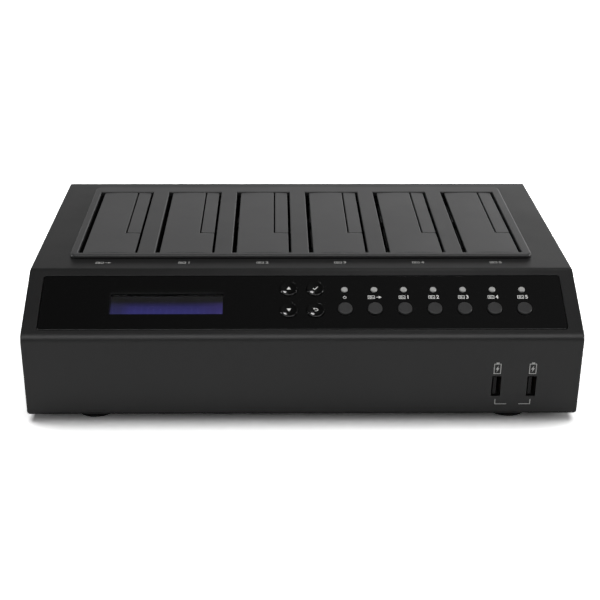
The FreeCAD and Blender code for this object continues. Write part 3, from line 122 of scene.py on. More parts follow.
# Contacts, in millimetres: thickness of the gold, pitch and size of the sockets' fingers, and their place
GOLD = 0.12
FINGER_PITCH = 1.27
FINGER_SIZE = (0.7, 9.6)
FINGER_Z = 19.6
SOCKET_MIDDLE = 3.7
SLOT_HALF = 1.2
TONGUE_FACE = 0.18

# Display's characters, in millimetres: a dot and its pitch, the dots in a character, and the lines of text
DOT = 0.5
DOT_PITCH = 0.58
CELL_DOTS = (5, 8)
CHARACTERS = 16
CHARACTER_PITCH = 3.5
LINES = 2
LINE_PITCH = 5.8
GLASS_RIM = 0.1

# Camera: focal length and middle in pixels of the 600-pixel frame, place in metres
FRAME_PIXELS = 600
FOCAL_PIXELS = 1202.0
MIDDLE_PIXELS = (287.85, 309.35)
CAMERA_AT = Vector((-0.0149, -0.68711, 0.3415))
CAMERA_PITCH = math.radians(24.77)
CAMERA_YAW = math.radians(0.635)
CAMERA_ROLL = math.radians(0.176)
SENSOR_MM = 36

# Light that the studio's walls give: low behind the object, in front of it as plain light and as reflections
# see it, high up behind, and straight overhead; and how it leans to the right, between two limits
WORLD_BACK = 1.0
WORLD_FRONT = 0.22
WORLD_FRONT_SEEN = 0.05
WORLD_DARK = 0.03
WORLD_ZENITH = 0.1
WORLD_LEAN = 1.6
WORLD_LEAN_LEAST = 0.3
WORLD_LEAN_MOST = 1.7

# Where that light changes, as parts of a direction one unit long
BACK_FADES = (0.2, 0.5)
FRONT_TO_BACK = (-0.2, 0.3)
ZENITH_STARTS = (0.9, 0.95)
WHITE_UNDER = (0.12, 0.0)

# Half the floor's width in metres, and where most lamps aim
FLOOR_REACH = 1.4
AIM = (0, 0, 0.04)

# Floor's paper as plain light meets it, as reflections show it, and as the eye sees it, through glass too
PAPER = (0.5, 0.5, 0.5, 1.0)
PAPER_MIRRORED = (1.05, 1.05, 1.05, 1.0)
PAPER_SEEN = (2.0, 2.0, 2.0, 1.0)

# Surfaces: grain and mottle of moulded plastic per metre, depth of the grain in metres, dust and its tone
FINE_GRAIN = 2600.0
MOTTLE = 30.0
GRAIN_DEPTH = 0.00002
DUST_SHARE = 0.02
DUST_TONE = (0.32, 0.31, 0.3, 1.0)
SCRATCHES = 900.0
# Depth in metres over which the doors' painted shade fades in
SHADE_SPAN = 0.0012

# Blue of the display: at its middle and foot, at its two ends, in its clouds; and the dark of painted shade
# at its head
BLUE_MIDDLE = (0.017, 0.014, 0.055, 1.0)
BLUE_FOOT = (0.045, 0.042, 0.225, 1.0)
BLUE_LEFT = (0.022, 0.022, 0.045, 1.0)
BLUE_RIGHT = (0.05, 0.034, 0.15, 1.0)
BLUE_CLOUD = (0.024, 0.024, 0.11, 1.0)
DISPLAY_HEAD_SHADE = (0.010, 0.010, 0.009, 1.0)


def panel_point(x, s, lift=0.0):
    """Point on the sloping panel, given in millimetres across, down and off its face."""
    return PANEL @ Vector((x * MM, -s * MM, lift * MM))


def display_height(share):
    """Height of a line across the display, given as a share from its head to its foot."""
    return panel_point(0, DISPLAY_S + (share - 0.5) * DISPLAY_SIZE[1], GLASS_LIFT).z


def metres(values):
    return tuple(value * MM for value in values)


# Nodes: small helpers for every tree

def add(tree, kind, inputs=(), **settings):
    """New node with its settings, and its inputs given as values or as sockets to link."""
    item = tree.nodes.new(kind)
    for key, value in settings.items():
        setattr(item, key, value)
    for key, value in dict(inputs).items():
        if isinstance(value, bpy.types.NodeSocket):
            tree.links.new(value, item.inputs[key])
        else:
            item.inputs[key].default_value = value
    return item


def calculate(tree, operation, first, second=0.0, third=0.0, clamp=False):
    """Result of one sum on values or sockets."""
    inputs = {0: first, 1: second, 2: third}
    return add(tree, "ShaderNodeMath", inputs, operation=operation, use_clamp=clamp).outputs[0]


def mixed(tree, share, first, second):
    """Colour between two others."""
    return add(tree, "ShaderNodeMix", {0: share, 6: first, 7: second}, data_type="RGBA").outputs[2]


def blend(tree, share, first, second):
    """Value between two others."""
    return add(tree, "ShaderNodeMix", {0: share, 2: first, 3: second}, data_type="FLOAT").outputs[0]


def ramp(tree, value, low, high):
    """Smooth step of a value from 0 at low to 1 at high."""
    item = add(tree, "ShaderNodeMapRange", {"Value": value, "From Min": low, "From Max": high},
               interpolation_type="SMOOTHSTEP")
    return item.outputs["Result"]


def new_group(name, kind, inputs, outputs):
    """Node group with named sockets, each given as (name, socket type, default)."""
    tree = bpy.data.node_groups.new(name, kind)
    for label, socket, default in inputs:
        made = tree.interface.new_socket(label, in_out="INPUT", socket_type=socket)
        if default is not None:
            made.default_value = default
    for label, socket in outputs:
        tree.interface.new_socket(label, in_out="OUTPUT", socket_type=socket)
    return tree, tree.nodes.new("NodeGroupInput").outputs, tree.nodes.new("NodeGroupOutput").inputs


# Shared effects, each one a shader group

def grain_group():
    """Fine spark-eroded texture of moulded plastic, with a slow mottle over it."""
    tree, given, result = new_group(
        "moulded_grain", "ShaderNodeTree",
        [("Grain per metre", "NodeSocketFloat", FINE_GRAIN), ("Mottle per metre", "NodeSocketFloat", MOTTLE)],
        [("Height", "NodeSocketFloat"), ("Mottle", "NodeSocketFloat")])
    place = add(tree, "ShaderNodeTexCoord").outputs["Object"]
    fine = add(tree, "ShaderNodeTexNoise",
               {"Vector": place, "Scale": given["Grain per metre"], "Detail": 2.0, "Roughness": 0.6})
    cells = add(tree, "ShaderNodeTexVoronoi", {"Vector": place, "Scale": given["Grain per metre"]},
                feature="SMOOTH_F1")
    slow = add(tree, "ShaderNodeTexNoise",
               {"Vector": place, "Scale": given["Mottle per metre"], "Detail": 4.0, "Roughness": 0.55})
    height = calculate(tree, "ADD", calculate(tree, "MULTIPLY", fine.outputs["Fac"], 0.6),
                       calculate(tree, "MULTIPLY", cells.outputs["Distance"], 0.4))
    tree.links.new(height, result["Height"])
    tree.links.new(slow.outputs["Fac"], result["Mottle"])
    return tree


def edge_group():
    """Mask along edges for wear and for a painted highlight, and a normal that rolls softly over them."""
    tree, given, result = new_group(
        "worn_and_highlit_edges", "ShaderNodeTree",
        [("Radius", "NodeSocketFloat", 0.0006), ("Gain", "NodeSocketFloat", 3.0)],
        [("Mask", "NodeSocketFloat"), ("Normal", "NodeSocketVector")])
    rolled = add(tree, "ShaderNodeBevel", {"Radius": given["Radius"]}, samples=6)
    true = add(tree, "ShaderNodeNewGeometry").outputs["True Normal"]
    facing = add(tree, "ShaderNodeVectorMath", {0: rolled.outputs[0], 1: true}, operation="DOT_PRODUCT")
    lost = calculate(tree, "SUBTRACT", 1.0, facing.outputs["Value"])
    place = add(tree, "ShaderNodeTexCoord").outputs["Object"]
    broken = add(tree, "ShaderNodeTexNoise", {"Vector": place, "Scale": 240.0, "Detail": 3.0})
    patchy = calculate(tree, "MULTIPLY", lost, calculate(tree, "ADD", broken.outputs["Fac"], 0.35))
    tree.links.new(calculate(tree, "MULTIPLY", patchy, given["Gain"], clamp=True), result["Mask"])
    tree.links.new(rolled.outputs[0], result["Normal"])
    return tree


def dust_group():
    """Mask of the thin dust that settles on faces that look up."""
    tree, given, result = new_group(
        "settled_dust", "ShaderNodeTree",
        [("Amount", "NodeSocketFloat", DUST_SHARE)],
        [("Mask", "NodeSocketFloat")])
    up = add(tree, "ShaderNodeSeparateXYZ", {0: add(tree, "ShaderNodeNewGeometry").outputs["Normal"]})
    place = add(tree, "ShaderNodeTexCoord").outputs["Object"]
    clouds = add(tree, "ShaderNodeTexNoise",
                 {"Vector": place, "Scale": 55.0, "Detail": 6.0, "Roughness": 0.7})
    level = calculate(tree, "MULTIPLY", up.outputs["Z"], clouds.outputs["Fac"], clamp=True)
    tree.links.new(calculate(tree, "MULTIPLY", level, given["Amount"], clamp=True), result["Mask"])
    return tree


GRAIN = grain_group()
EDGES = edge_group()
DUST = dust_group()


# Materials

def grey(level):
    """Grey that leans a little to blue."""
    return (level, level, level * 1.02, 1.0)


def new_material(name):
    """Material with an empty tree, and its principled shader wired to the output."""
    material = bpy.data.materials.new(name)
    material.use_nodes = True
    tree = material.node_tree
    tree.nodes.clear()
    shader = tree.nodes.new("ShaderNodeBsdfPrincipled")
    output = tree.nodes.new("ShaderNodeOutputMaterial")
    tree.links.new(shader.outputs[0], output.inputs["Surface"])
    return material, tree, shader


def edge_nodes(tree, radius):
    """Outputs of the worn edges for one rounding radius."""
    item = add(tree, "ShaderNodeGroup", node_tree=EDGES)
    item.inputs["Radius"].default_value = radius
    return item.outputs


def object_place(tree):
    return add(tree, "ShaderNodeTexCoord").outputs["Object"]


def moulded(name, colour, roughness, grain=FINE_GRAIN, wear_and_highlight=0.25, specular=0.5, radius=0.0005,
            painted_shade_under=None):
    """Moulded plastic: fine grain, slow mottle in its gloss, edges lightened partly by wear and partly as a
    painted highlight, and a trace of dust.

    Given a height for painted shade, the tone and the gloss fall away below it: painted shade on the inner
    side of a door.
    """
    material, tree, shader = new_material(name)
    texture = add(tree, "ShaderNodeGroup", node_tree=GRAIN)
    texture.inputs["Grain per metre"].default_value = grain
    edges = edge_nodes(tree, radius)
    film = add(tree, "ShaderNodeGroup", node_tree=DUST)
    film.inputs["Amount"].default_value = DUST_SHARE
    # Edges lightened partly as wear and partly as a painted highlight along them
    worn_and_highlit = tuple(min(1.0, level * 2.0 + 0.015) for level in colour[:3]) + (1.0,)
    tone = mixed(tree, calculate(tree, "MULTIPLY", edges["Mask"], wear_and_highlight), colour, worn_and_highlit)
    tone = mixed(tree, film.outputs["Mask"], tone, DUST_TONE)
    shader.inputs["Specular IOR Level"].default_value = specular
    # Painted shade: below the given height the tone turns near black and the gloss fades
    if painted_shade_under is not None:
        height = add(tree, "ShaderNodeSeparateXYZ", {0: object_place(tree)}).outputs["Z"]
        upper = ramp(tree, height, painted_shade_under - SHADE_SPAN, painted_shade_under)
        tone = mixed(tree, upper, grey(0.003), tone)
        shine = calculate(tree, "MULTIPLY", upper, specular)
        tree.links.new(shine, shader.inputs["Specular IOR Level"])
    tree.links.new(tone, shader.inputs["Base Color"])
    gloss = calculate(tree, "MULTIPLY_ADD", texture.outputs["Mottle"], 0.12, roughness - 0.06)
    tree.links.new(gloss, shader.inputs["Roughness"])
    bump = add(tree, "ShaderNodeBump", {"Height": texture.outputs["Height"], "Strength": 0.5,
                                        "Distance": GRAIN_DEPTH, "Normal": edges["Normal"]})
    tree.links.new(bump.outputs[0], shader.inputs["Normal"])
    return material


def polished(name, colour, roughness=0.06, radius=0.0003, edge_highlight_tone=0.05):
    """Polished plastic with faint wiping marks in its gloss and a painted highlight that lightens its edges.
    """
    material, tree, shader = new_material(name)
    smear = add(tree, "ShaderNodeTexNoise",
                {"Vector": object_place(tree), "Scale": 45.0, "Detail": 5.0, "Distortion": 1.4})
    gloss = calculate(tree, "MULTIPLY_ADD", smear.outputs["Fac"], 0.08, roughness)
    tree.links.new(gloss, shader.inputs["Roughness"])
    edges = edge_nodes(tree, radius)
    # Painted highlight: the edges are lightened towards the edge tone
    tone = mixed(tree, calculate(tree, "MULTIPLY", edges["Mask"], 0.6), colour, grey(edge_highlight_tone))
    tree.links.new(tone, shader.inputs["Base Color"])
    tree.links.new(edges["Normal"], shader.inputs["Normal"])
    return material


def metal(name, colour, roughness=0.28):
    """Plated or drawn metal with fine scratches in its gloss."""
    material, tree, shader = new_material(name)
    lines = add(tree, "ShaderNodeTexNoise",
                {"Vector": object_place(tree), "Scale": SCRATCHES, "Detail": 3.0})
    gloss = calculate(tree, "MULTIPLY_ADD", lines.outputs["Fac"], 0.16, roughness - 0.08)
    tree.links.new(gloss, shader.inputs["Roughness"])
    dull = tuple(0.7 * level for level in colour[:3]) + (1.0,)
    tree.links.new(mixed(tree, lines.outputs["Fac"], colour, dull), shader.inputs["Base Color"])
    shader.inputs["Metallic"].default_value = 1.0
    bump = add(tree, "ShaderNodeBump",
               {"Height": lines.outputs["Fac"], "Strength": 0.2, "Distance": 0.00001})
    tree.links.new(bump.outputs[0], shader.inputs["Normal"])
    return material


def printed(name, colour):
    """Screen-printed ink, a little uneven in its cover."""
    material, tree, shader = new_material(name)
    cover = add(tree, "ShaderNodeTexNoise", {"Vector": object_place(tree), "Scale": 1800.0, "Detail": 3.0})
    thin = tuple(0.75 * level for level in colour[:3]) + (1.0,)
    tree.links.new(mixed(tree, cover.outputs["Fac"], thin, colour), shader.inputs["Base Color"])
    gloss = calculate(tree, "MULTIPLY_ADD", cover.outputs["Fac"], 0.1, 0.5)
    tree.links.new(gloss, shader.inputs["Roughness"])
    return material


def clear_plastic(name):
    """Clear window with a very light smear."""
    material, tree, shader = new_material(name)
    smear = add(tree, "ShaderNodeTexNoise", {"Vector": object_place(tree), "Scale": 60.0, "Detail": 4.0})
    gloss = calculate(tree, "MULTIPLY", smear.outputs["Fac"], 0.04)
    tree.links.new(gloss, shader.inputs["Roughness"])
    shader.inputs["Base Color"].default_value = (0.92, 0.92, 0.94, 1.0)
    shader.inputs["Transmission Weight"].default_value = 1.0
    shader.inputs["IOR"].default_value = 1.49
    return material


def display_light(tree):
    """Blue of the back-lit display: brighter towards its foot, darkened at its head by painted shade, faded
    at both ends.
    """
    axes = add(tree, "ShaderNodeSeparateXYZ", {0: object_place(tree)}).outputs
    across = calculate(tree, "MULTIPLY", calculate(tree, "SUBTRACT", axes["X"], DISPLAY_X * MM),
                       1 / (DISPLAY_SIZE[0] * MM))
    rise = ramp(tree, axes["Z"], display_height(0.25), display_height(0.75))
    blue = mixed(tree, rise, BLUE_MIDDLE, BLUE_FOOT)
    left = calculate(tree, "MULTIPLY", ramp(tree, across, -0.3, -0.45), 0.6)
    blue = mixed(tree, left, blue, BLUE_LEFT)
    right = calculate(tree, "MULTIPLY", ramp(tree, across, 0.2, 0.5), 0.5)
    blue = mixed(tree, right, blue, BLUE_RIGHT)
    cloud = add(tree, "ShaderNodeTexNoise", {"Vector": object_place(tree), "Scale": 90.0, "Detail": 2.0})
    blue = mixed(tree, calculate(tree, "MULTIPLY", cloud.outputs["Fac"], 0.2), blue, BLUE_CLOUD)
    # Painted shade: the display turns dark towards its head, as under the window's upper edge
    below_head_shade = ramp(tree, axes["Z"], display_height(0.2), display_height(0.4))
    return mixed(tree, below_head_shade, DISPLAY_HEAD_SHADE, blue), cloud.outputs["Fac"]


def display_glass(name, share=1.0):
    """Glass of the display, lit from behind; the share is how much of the light its dots let through."""
    material, tree, shader = new_material(name)
    lit, cloud = display_light(tree)
    tree.links.new(lit, shader.inputs["Emission Color"])
    shader.inputs["Specular IOR Level"].default_value = 0.03
    shader.inputs["Emission Strength"].default_value = 0.75 * share
    shader.inputs["Base Color"].default_value = (0.003, 0.003, 0.006, 1.0)
    gloss = calculate(tree, "MULTIPLY_ADD", cloud, 0.1, 0.2)
    tree.links.new(gloss, shader.inputs["Roughness"])
    return material


def lens(name):
    """Milky light guide, unlit."""
    material, tree, shader = new_material(name)
    milk = add(tree, "ShaderNodeTexNoise", {"Vector": object_place(tree), "Scale": 700.0, "Detail": 2.0})
    tree.links.new(mixed(tree, milk.outputs["Fac"], (0.36, 0.36, 0.35, 1.0), (0.44, 0.44, 0.43, 1.0)),
                   shader.inputs["Base Color"])
    shader.inputs["Roughness"].default_value = 0.35
    shader.inputs["Subsurface Weight"].default_value = 0.2
    shader.inputs["Subsurface Radius"].default_value = (0.0006, 0.0006, 0.0005)
    shader.inputs["Subsurface Scale"].default_value = 1.0
    return material


def circuit(name):
    """Green solder mask with a slight orange-peel and copper tracks showing faintly through."""
    material, tree, shader = new_material(name)
    place = object_place(tree)
    tracks = add(tree, "ShaderNodeTexBrick", {
        "Vector": place, "Scale": 160.0,
        "Color1": (0.008, 0.055, 0.02, 1.0), "Color2": (0.01, 0.08, 0.03, 1.0),
        "Mortar": (0.03, 0.12, 0.05, 1.0), "Mortar Size": 0.04})
    tree.links.new(tracks.outputs["Color"], shader.inputs["Base Color"])
    peel = add(tree, "ShaderNodeTexNoise", {"Vector": place, "Scale": 500.0})
    gloss = calculate(tree, "MULTIPLY_ADD", peel.outputs["Fac"], 0.15, 0.22)
    tree.links.new(gloss, shader.inputs["Roughness"])
    return material


MATERIALS = {
    # Where set, lighter edges are partly wear and partly a painted highlight
    "housing": moulded("housing_plastic", grey(0.008), 0.4, specular=0.36),
    "surround": moulded("surround_plastic", grey(0.034), 0.4, wear_and_highlight=0.5, specular=0.35),
    # Doors: painted shade on their inner sides, below a height just under their top face
    "door": moulded("door_plastic", grey(0.042), 0.4, grain=3400.0, wear_and_highlight=0.5, specular=0.35,
                    painted_shade_under=DOOR_SHADE_HEIGHT),
    "sleeve": moulded("sleeve_plastic", grey(0.002), 0.75, specular=0.15),
    "tray": moulded("tray_plastic", grey(0.014), 0.62),
    "fascia_gloss": polished("fascia_gloss", grey(0.0015), 0.05, edge_highlight_tone=0.03),
    "clear_window": clear_plastic("window_clear"),
    "display_dark": polished("display_frame_dark", grey(0.006), 0.3),
    "menu_cap": polished("menu_cap_gloss", grey(0.0015), 0.06, radius=0.0004, edge_highlight_tone=0.04),
    "round_cap": moulded("round_cap_matt", grey(0.019), 0.4, grain=4000.0, wear_and_highlight=1.0, radius=0.0008),
    "light_lens": lens("light_lens"),
    "foot_rubber": moulded("foot_rubber", grey(0.004), 0.8, specular=0.3),
    "screw_steel": metal("screw_zinc", (0.32, 0.32, 0.33, 1.0)),
    "pin_steel": metal("pin_black_oxide", (0.012, 0.012, 0.013, 1.0), 0.5),
    "spring_steel": metal("spring_oil_black", (0.05, 0.05, 0.05, 1.0), 0.4),
    "circuit_board": circuit("solder_mask"),
    "switch_black": moulded("switch_black", grey(0.01), 0.5),
    "chip_black": moulded("chip_epoxy", grey(0.015), 0.5),
    "connector_black": moulded("connector_black", grey(0.006), 0.5),
    "port_metal": metal("port_nickel", (0.30, 0.29, 0.28, 1.0), 0.35),
    "tongue_plastic": moulded("tongue_plastic", grey(0.003), 0.5, wear_and_highlight=0.3, specular=0.2, radius=0.0003),
    "inlet_black": moulded("inlet_black", grey(0.01), 0.45),
}
WHITE_INK = printed("white_ink", (0.86, 0.86, 0.84, 1.0))
PALE_INK = printed("pale_ink", (0.36, 0.36, 0.35, 1.0))
CONTACT_GOLD = metal("contact_gold", (0.75, 0.5, 0.16, 1.0), 0.25)
# Painted shade for the screws' cross recesses
SCREW_RECESS_SHADE = moulded("screw_recess_painted_shade", grey(0.004), 0.7)
GLASS_LIT = display_glass("display_glass")
DOTS_LIT = display_glass("display_dots", 0.8)

for entry in frame["record"]["subparts"]:
    data = frame["nodes"][entry["node"]].data
    data.materials.clear()
    data.materials.append(MATERIALS[entry["material_slot"]])


# Pieces: each one a plain mesh with its material, riding on its body

def finish_piece(name, data, material, body, slot):
    """Object of a mesh, with its one material, riding on its body."""
    data.materials.clear()
    data.materials.append(material)
    piece = bpy.data.objects.new(name, data)
    bpy.context.scene.collection.objects.link(piece)
    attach(piece, body)
    return piece


def finish_mesh(name, mesh, material, body, slot):
    """Piece made from an edited mesh, which is freed."""
    data = bpy.data.meshes.new(name)
    mesh.to_mesh(data)
    mesh.free()
    return finish_piece(name, data, material, body, slot)


# Print: flat marks built as thin closed plates in millimetres, x across and y up

class Mark:
    """Thin plates that make up one printed mark."""

    def __init__(self):
        self.mesh = bmesh.new()

    def plate(self, outline):
        """Plate of one outline without holes, given counter-clockwise."""
        low = [self.mesh.verts.new((x, y, 0)) for x, y in outline]
        high = [self.mesh.verts.new((x, y, INK)) for x, y in outline]
        self.mesh.faces.new(high)
        self.mesh.faces.new(list(reversed(low)))
        for index in range(len(low)):
            after = (index + 1) % len(low)
            self.mesh.faces.new((low[index], low[after], high[after], high[index]))

    def line(self, points, width, closed=False):
        """Line of one width along points, mitred at its corners."""
        points = [Vector(point) for point in points]
        count = len(points)
        rings = []
        for index, point in enumerate(points):
            before = points[index - 1] if closed or index else None
            after = points[(index + 1) % count] if closed or index < count - 1 else None
            inward = (point - before).normalized() if before is not None else (after - point).normalized()
            outward = (after - point).normalized() if after is not None else inward
            across = (Vector((-inward.y, inward.x)) + Vector((-outward.y, outward.x))).normalized()
            reach = width / 2 / max(MITRE_LEAST, across.dot(Vector((-inward.y, inward.x))))
            left, right = point + across * reach, point - across * reach
            rings.append([self.mesh.verts.new((p.x, p.y, z)) for p, z in
                          ((left, 0), (left, INK), (right, INK), (right, 0))])
        pairs = list(zip(rings, rings[1:])) + ([(rings[-1], rings[0])] if closed else [])
        for first, second in pairs:
            for corner in range(4):
                other = (corner + 1) % 4
                self.mesh.faces.new((first[corner], first[other], second[other], second[corner]))
        if not closed:
            self.mesh.faces.new(list(reversed(rings[0])))
            self.mesh.faces.new(rings[-1])

    def arc(self, x, y, radius, start, end, width, steps=20):
        """Part of a ring, from one turn to another in degrees; a whole one closes on itself."""
        whole = abs(end - start) >= 360
        count = steps if whole else steps + 1
        turns = [math.radians(start + (end - start) * step / steps) for step in range(count)]
        points = [(x + radius * math.cos(turn), y + radius * math.sin(turn)) for turn in turns]
        self.line(points, width, closed=whole)

    def digit(self, text, x, y, height):
        """Plain figure with its middle at x and y."""
        letters = bpy.data.curves.new("figure", "FONT")
        letters.body = text
        letters.size = height * FIGURE_TYPE
        letters.align_x = "CENTER"
        letters.align_y = "CENTER"
        letters.extrude = INK / 2
        letters.offset = FIGURE_WEIGHT * height
        shape = bpy.data.objects.new("figure", letters)
        bpy.context.scene.collection.objects.link(shape)
        flat = bpy.data.meshes.new_from_object(shape.evaluated_get(bpy.context.evaluated_depsgraph_get()))
        bpy.data.objects.remove(shape)
        flat.transform(Matrix.Translation((x, y, INK / 2)))
        self.mesh.from_mesh(flat)
        bpy.data.meshes.remove(flat)

    def place(self, name, material, body, where, slot):
        """Finish the mark as a piece at its place, riding on its body."""
        bmesh.ops.remove_doubles(self.mesh, verts=self.mesh.verts, dist=WELD)
        bmesh.ops.recalc_face_normals(self.mesh, faces=self.mesh.faces)
        for vertex in self.mesh.verts:
            vertex.co = where(vertex.co)
        return finish_mesh(name, self.mesh, material, body, slot)


def on_panel(x, s, lift=0.0):
    """Way to lay a mark on the sloping panel."""
    return lambda point: panel_point(x + point.x, s - point.y, lift + INK_LIFT + point.z)


def on_dish(x, s):
    """Way to lay a mark in the dish of a menu button."""
    def where(point):
        hollow = MENU_DISH_RADIUS - math.sqrt(MENU_DISH_RADIUS ** 2 - point.x ** 2 - point.y ** 2)
        return panel_point(x + point.x, s - point.y, MENU_DISH_LIFT + hollow + INK_LIFT + point.z)
    return where


def on_front(x, z):
    """Way to lay a mark on the front face."""
    return lambda point: Vector(
        ((x + point.x) * MM, FRONT_Y - (INK_LIFT + point.z) * MM, (z + point.y) * MM))


def on_top(x, y):
    """Way to lay a mark on the flat top."""
    return lambda point: Vector(
        ((x + point.x) * MM, y + point.y * MM, TOP_Z + (INK_LIFT + point.z) * MM))


def drive_sign(mark, middle, width, height, line):
    """Drive seen from above, with its middle at a place across: a case with its platter and arm."""
    half, tall = width / 2 - line / 2, height / 2 - line / 2
    case = [(-half, -tall), (half, -tall), (half, tall), (-half, tall)]
    mark.line([(middle + x, y) for x, y in case], line, closed=True)
    mark.arc(middle - half / 4, 0, tall * 0.52, 0, 360, line)
    mark.line([(middle + half * 0.72, -tall * 0.5), (middle + half * 0.3, tall * 0.1)], line)


def source_sign(mark, height, line):
    """Drive with an arrow that leaves it: the drive that is copied from."""
    drive_sign(mark, -0.75 * height, 1.7 * height, height, line)
    mark.line([(0.4 * height, 0), (1.15 * height, 0)], 1.2 * line)
    mark.plate([(1.05 * height, -0.4 * height), (1.75 * height, 0), (1.05 * height, 0.4 * height)])


def numbered_sign(mark, number, height, line):
    """Drive with its number beside it."""
    drive_sign(mark, -0.5 * height, 1.6 * height, height, line)
    mark.digit(str(number), 0.95 * height, 0, 1.05 * height)


def menu_marks():
    """Up, confirm, down and back signs in the dishes of the menu buttons."""
    for name, (x, s) in MENU_BUTTONS.items():
        mark = Mark()
        if name == "up":
            mark.plate([(-1.25, -0.8), (1.25, -0.8), (0, 1.15)])
        elif name == "down":
            mark.plate([(-1.25, 0.8), (0, -1.15), (1.25, 0.8)])
        elif name == "enter":
            mark.line([(-1.2, 0.05), (-0.35, -0.85), (1.35, 1.0)], TICK_LINE)
        else:
            mark.line([(-0.75, 0.65), (0.4, 0.65)], MENU_LINE)
            mark.arc(0.4, -0.1, 0.75, 90, -90, MENU_LINE, steps=12)
            mark.line([(0.4, -0.85), (-0.55, -0.85)], MENU_LINE)
            mark.plate([(-0.7, 1.3), (-1.5, 0.65), (-0.7, 0.0)])
        mark.place("menu_sign_" + name, WHITE_INK, "menu_button_" + name, on_dish(x, s), "menu_cap")


def light_marks():
    """Signs under the status lights: power, source drive and drives 1 to 5."""
    height, line = LIGHT_SIGN
    power = Mark()
    power.arc(0, -0.05, 0.8, 125, 415, line, steps=24)
    power.line([(0, 0.2), (0, 1.05)], line)
    power.place("power_sign", WHITE_INK, "housing", on_panel(LIGHT_X, SYMBOL_S), "fascia_gloss")
    source = Mark()
    source_sign(source, height, line)
    source.place("source_sign", WHITE_INK, "housing",
                 on_panel(LIGHT_X + LIGHT_PITCH, SYMBOL_S), "fascia_gloss")
    for number in range(1, BAYS):
        figure = Mark()
        numbered_sign(figure, number, height, line)
        figure.place("drive_number_%d" % number, WHITE_INK, "housing",
                     on_panel(LIGHT_X + (number + 1) * LIGHT_PITCH, SYMBOL_S), "fascia_gloss")


def bay_marks():
    """Small dim signs on the flat top, one in front of each bay."""
    y = CREASE_Y + BAY_SIGN_BACK * MM
    for number in range(BAYS):
        mark = Mark()
        x = (number - (BAYS - 1) / 2) * BAY_PITCH / MM
        if number == 0:
            source_sign(mark, *BAY_SIGN)
            x += SOURCE_SIGN_SHIFT
        else:
            numbered_sign(mark, number, *BAY_SIGN)
        mark.place("bay_sign_%d" % (number + 1), PALE_INK, "housing", on_top(x, y), "housing")


def port_marks():
    """Battery sign over each charging port, and the bracket that joins the two ports."""
    for index, x in enumerate(PORT_X):
        mark = Mark()
        mark.line([(-1.8, -3.3), (1.8, -3.3), (1.8, 2.6), (-1.8, 2.6)], BATTERY_LINE, closed=True)
        mark.plate([(-0.85, 2.8), (0.85, 2.8), (0.85, 3.6), (-0.85, 3.6)])
        mark.plate([(0.55, 1.7), (-1.05, -0.75), (-0.15, -0.75), (-0.55, -2.5), (1.05, 0.05), (0.15, 0.05)])
        mark.place("battery_sign_%d" % (index + 1), WHITE_INK, "housing", on_front(x, BATTERY_Z), "housing")
    middle = (PORT_X[0] + PORT_X[1]) / 2
    reach = (PORT_X[1] - PORT_X[0]) / 2
    bracket = Mark()
    for side in (-1, 1):
        hook = [(side * reach, BRACKET_RISE), (side * reach, 0), (side * BRACKET_GAP, 0)]
        bracket.line(hook, BRACKET_LINE)
    bracket.place("port_bracket", WHITE_INK, "housing", on_front(middle, BRACKET_Z), "housing")


def display_face():
    """Lit glass of the display, laid on the module behind its window."""
    across, down = DISPLAY_SIZE[0] / 2 - GLASS_RIM, DISPLAY_SIZE[1] / 2 - GLASS_RIM
    face = Mark()
    face.plate([(-across, -down), (across, -down), (across, down), (-across, down)])
    face.place("display_face", GLASS_LIT, "housing",
               on_panel(DISPLAY_X, DISPLAY_S, GLASS_LIFT), "display_dark")


menu_marks()
light_marks()
bay_marks()
port_marks()
display_face()


# Repeated pieces, made by trees of geometry nodes

def geometry_tree(name, inputs):
    """Tree of geometry nodes with named inputs, each given as (name, socket type, default)."""
    tree, given, result = new_group(name, "GeometryNodeTree", inputs, [("Geometry", "NodeSocketGeometry")])
    return tree, given, result["Geometry"]


def grow(name, tree, values, material, body, slot):
    """Evaluate a tree once with its values set, and keep the result as a plain mesh piece."""
    holder = bpy.data.objects.new(name + "_source", bpy.data.meshes.new(name + "_source"))
    bpy.context.scene.collection.objects.link(holder)
    modifier = holder.modifiers.new(name, "NODES")
    modifier.node_group = tree
    sockets = {item.name: item.identifier for item in tree.interface.items_tree if item.in_out == "INPUT"}
    modifier[sockets["Material"]] = material
    for key, value in values.items():
        modifier[sockets[key]] = value
    data = bpy.data.meshes.new_from_object(holder.evaluated_get(bpy.context.evaluated_depsgraph_get()))
    data.name = name
    holder.modifiers.clear()
    bpy.data.objects.remove(holder)
    return finish_piece(name, data, material, body, slot)


def close_tree(tree, geometry, material, output):
    """End a tree as real geometry with its material."""
    real = add(tree, "GeometryNodeRealizeInstances", {"Geometry": geometry})
    painted = add(tree, "GeometryNodeSetMaterial", {"Geometry": real.outputs[0], "Material": material})
    tree.links.new(painted.outputs[0], output)


def vector(tree, x=0.0, y=0.0, z=0.0):
    return add(tree, "ShaderNodeCombineXYZ", {0: x, 1: y, 2: z}).outputs[0]


def moved(tree, geometry, place=(0.0, 0.0, 0.0), turn=(0.0, 0.0, 0.0)):
    """Geometry turned about the origin and then moved."""
    inputs = {"Geometry": geometry, "Translation": place, "Rotation": turn}
    return add(tree, "GeometryNodeTransform", inputs).outputs[0]


def copied(tree, points, instance):
    """Copies of a geometry, one on each point."""
    return add(tree, "GeometryNodeInstanceOnPoints", {"Points": points, "Instance": instance}).outputs[0]


def row_of_points(tree, count, start, step):
    """Points in a row, to put copies on."""
    return add(tree, "GeometryNodeMeshLine", {"Count": count, "Start Location": start, "Offset": step},
               mode="OFFSET").outputs["Mesh"]


def grid_of_points(tree, across, down, width, height):
    """Points in a flat grid, to put copies on."""
    return add(tree, "GeometryNodeMeshGrid", {"Size X": width, "Size Y": height, "Vertices X": across,
                                              "Vertices Y": down}).outputs["Mesh"]


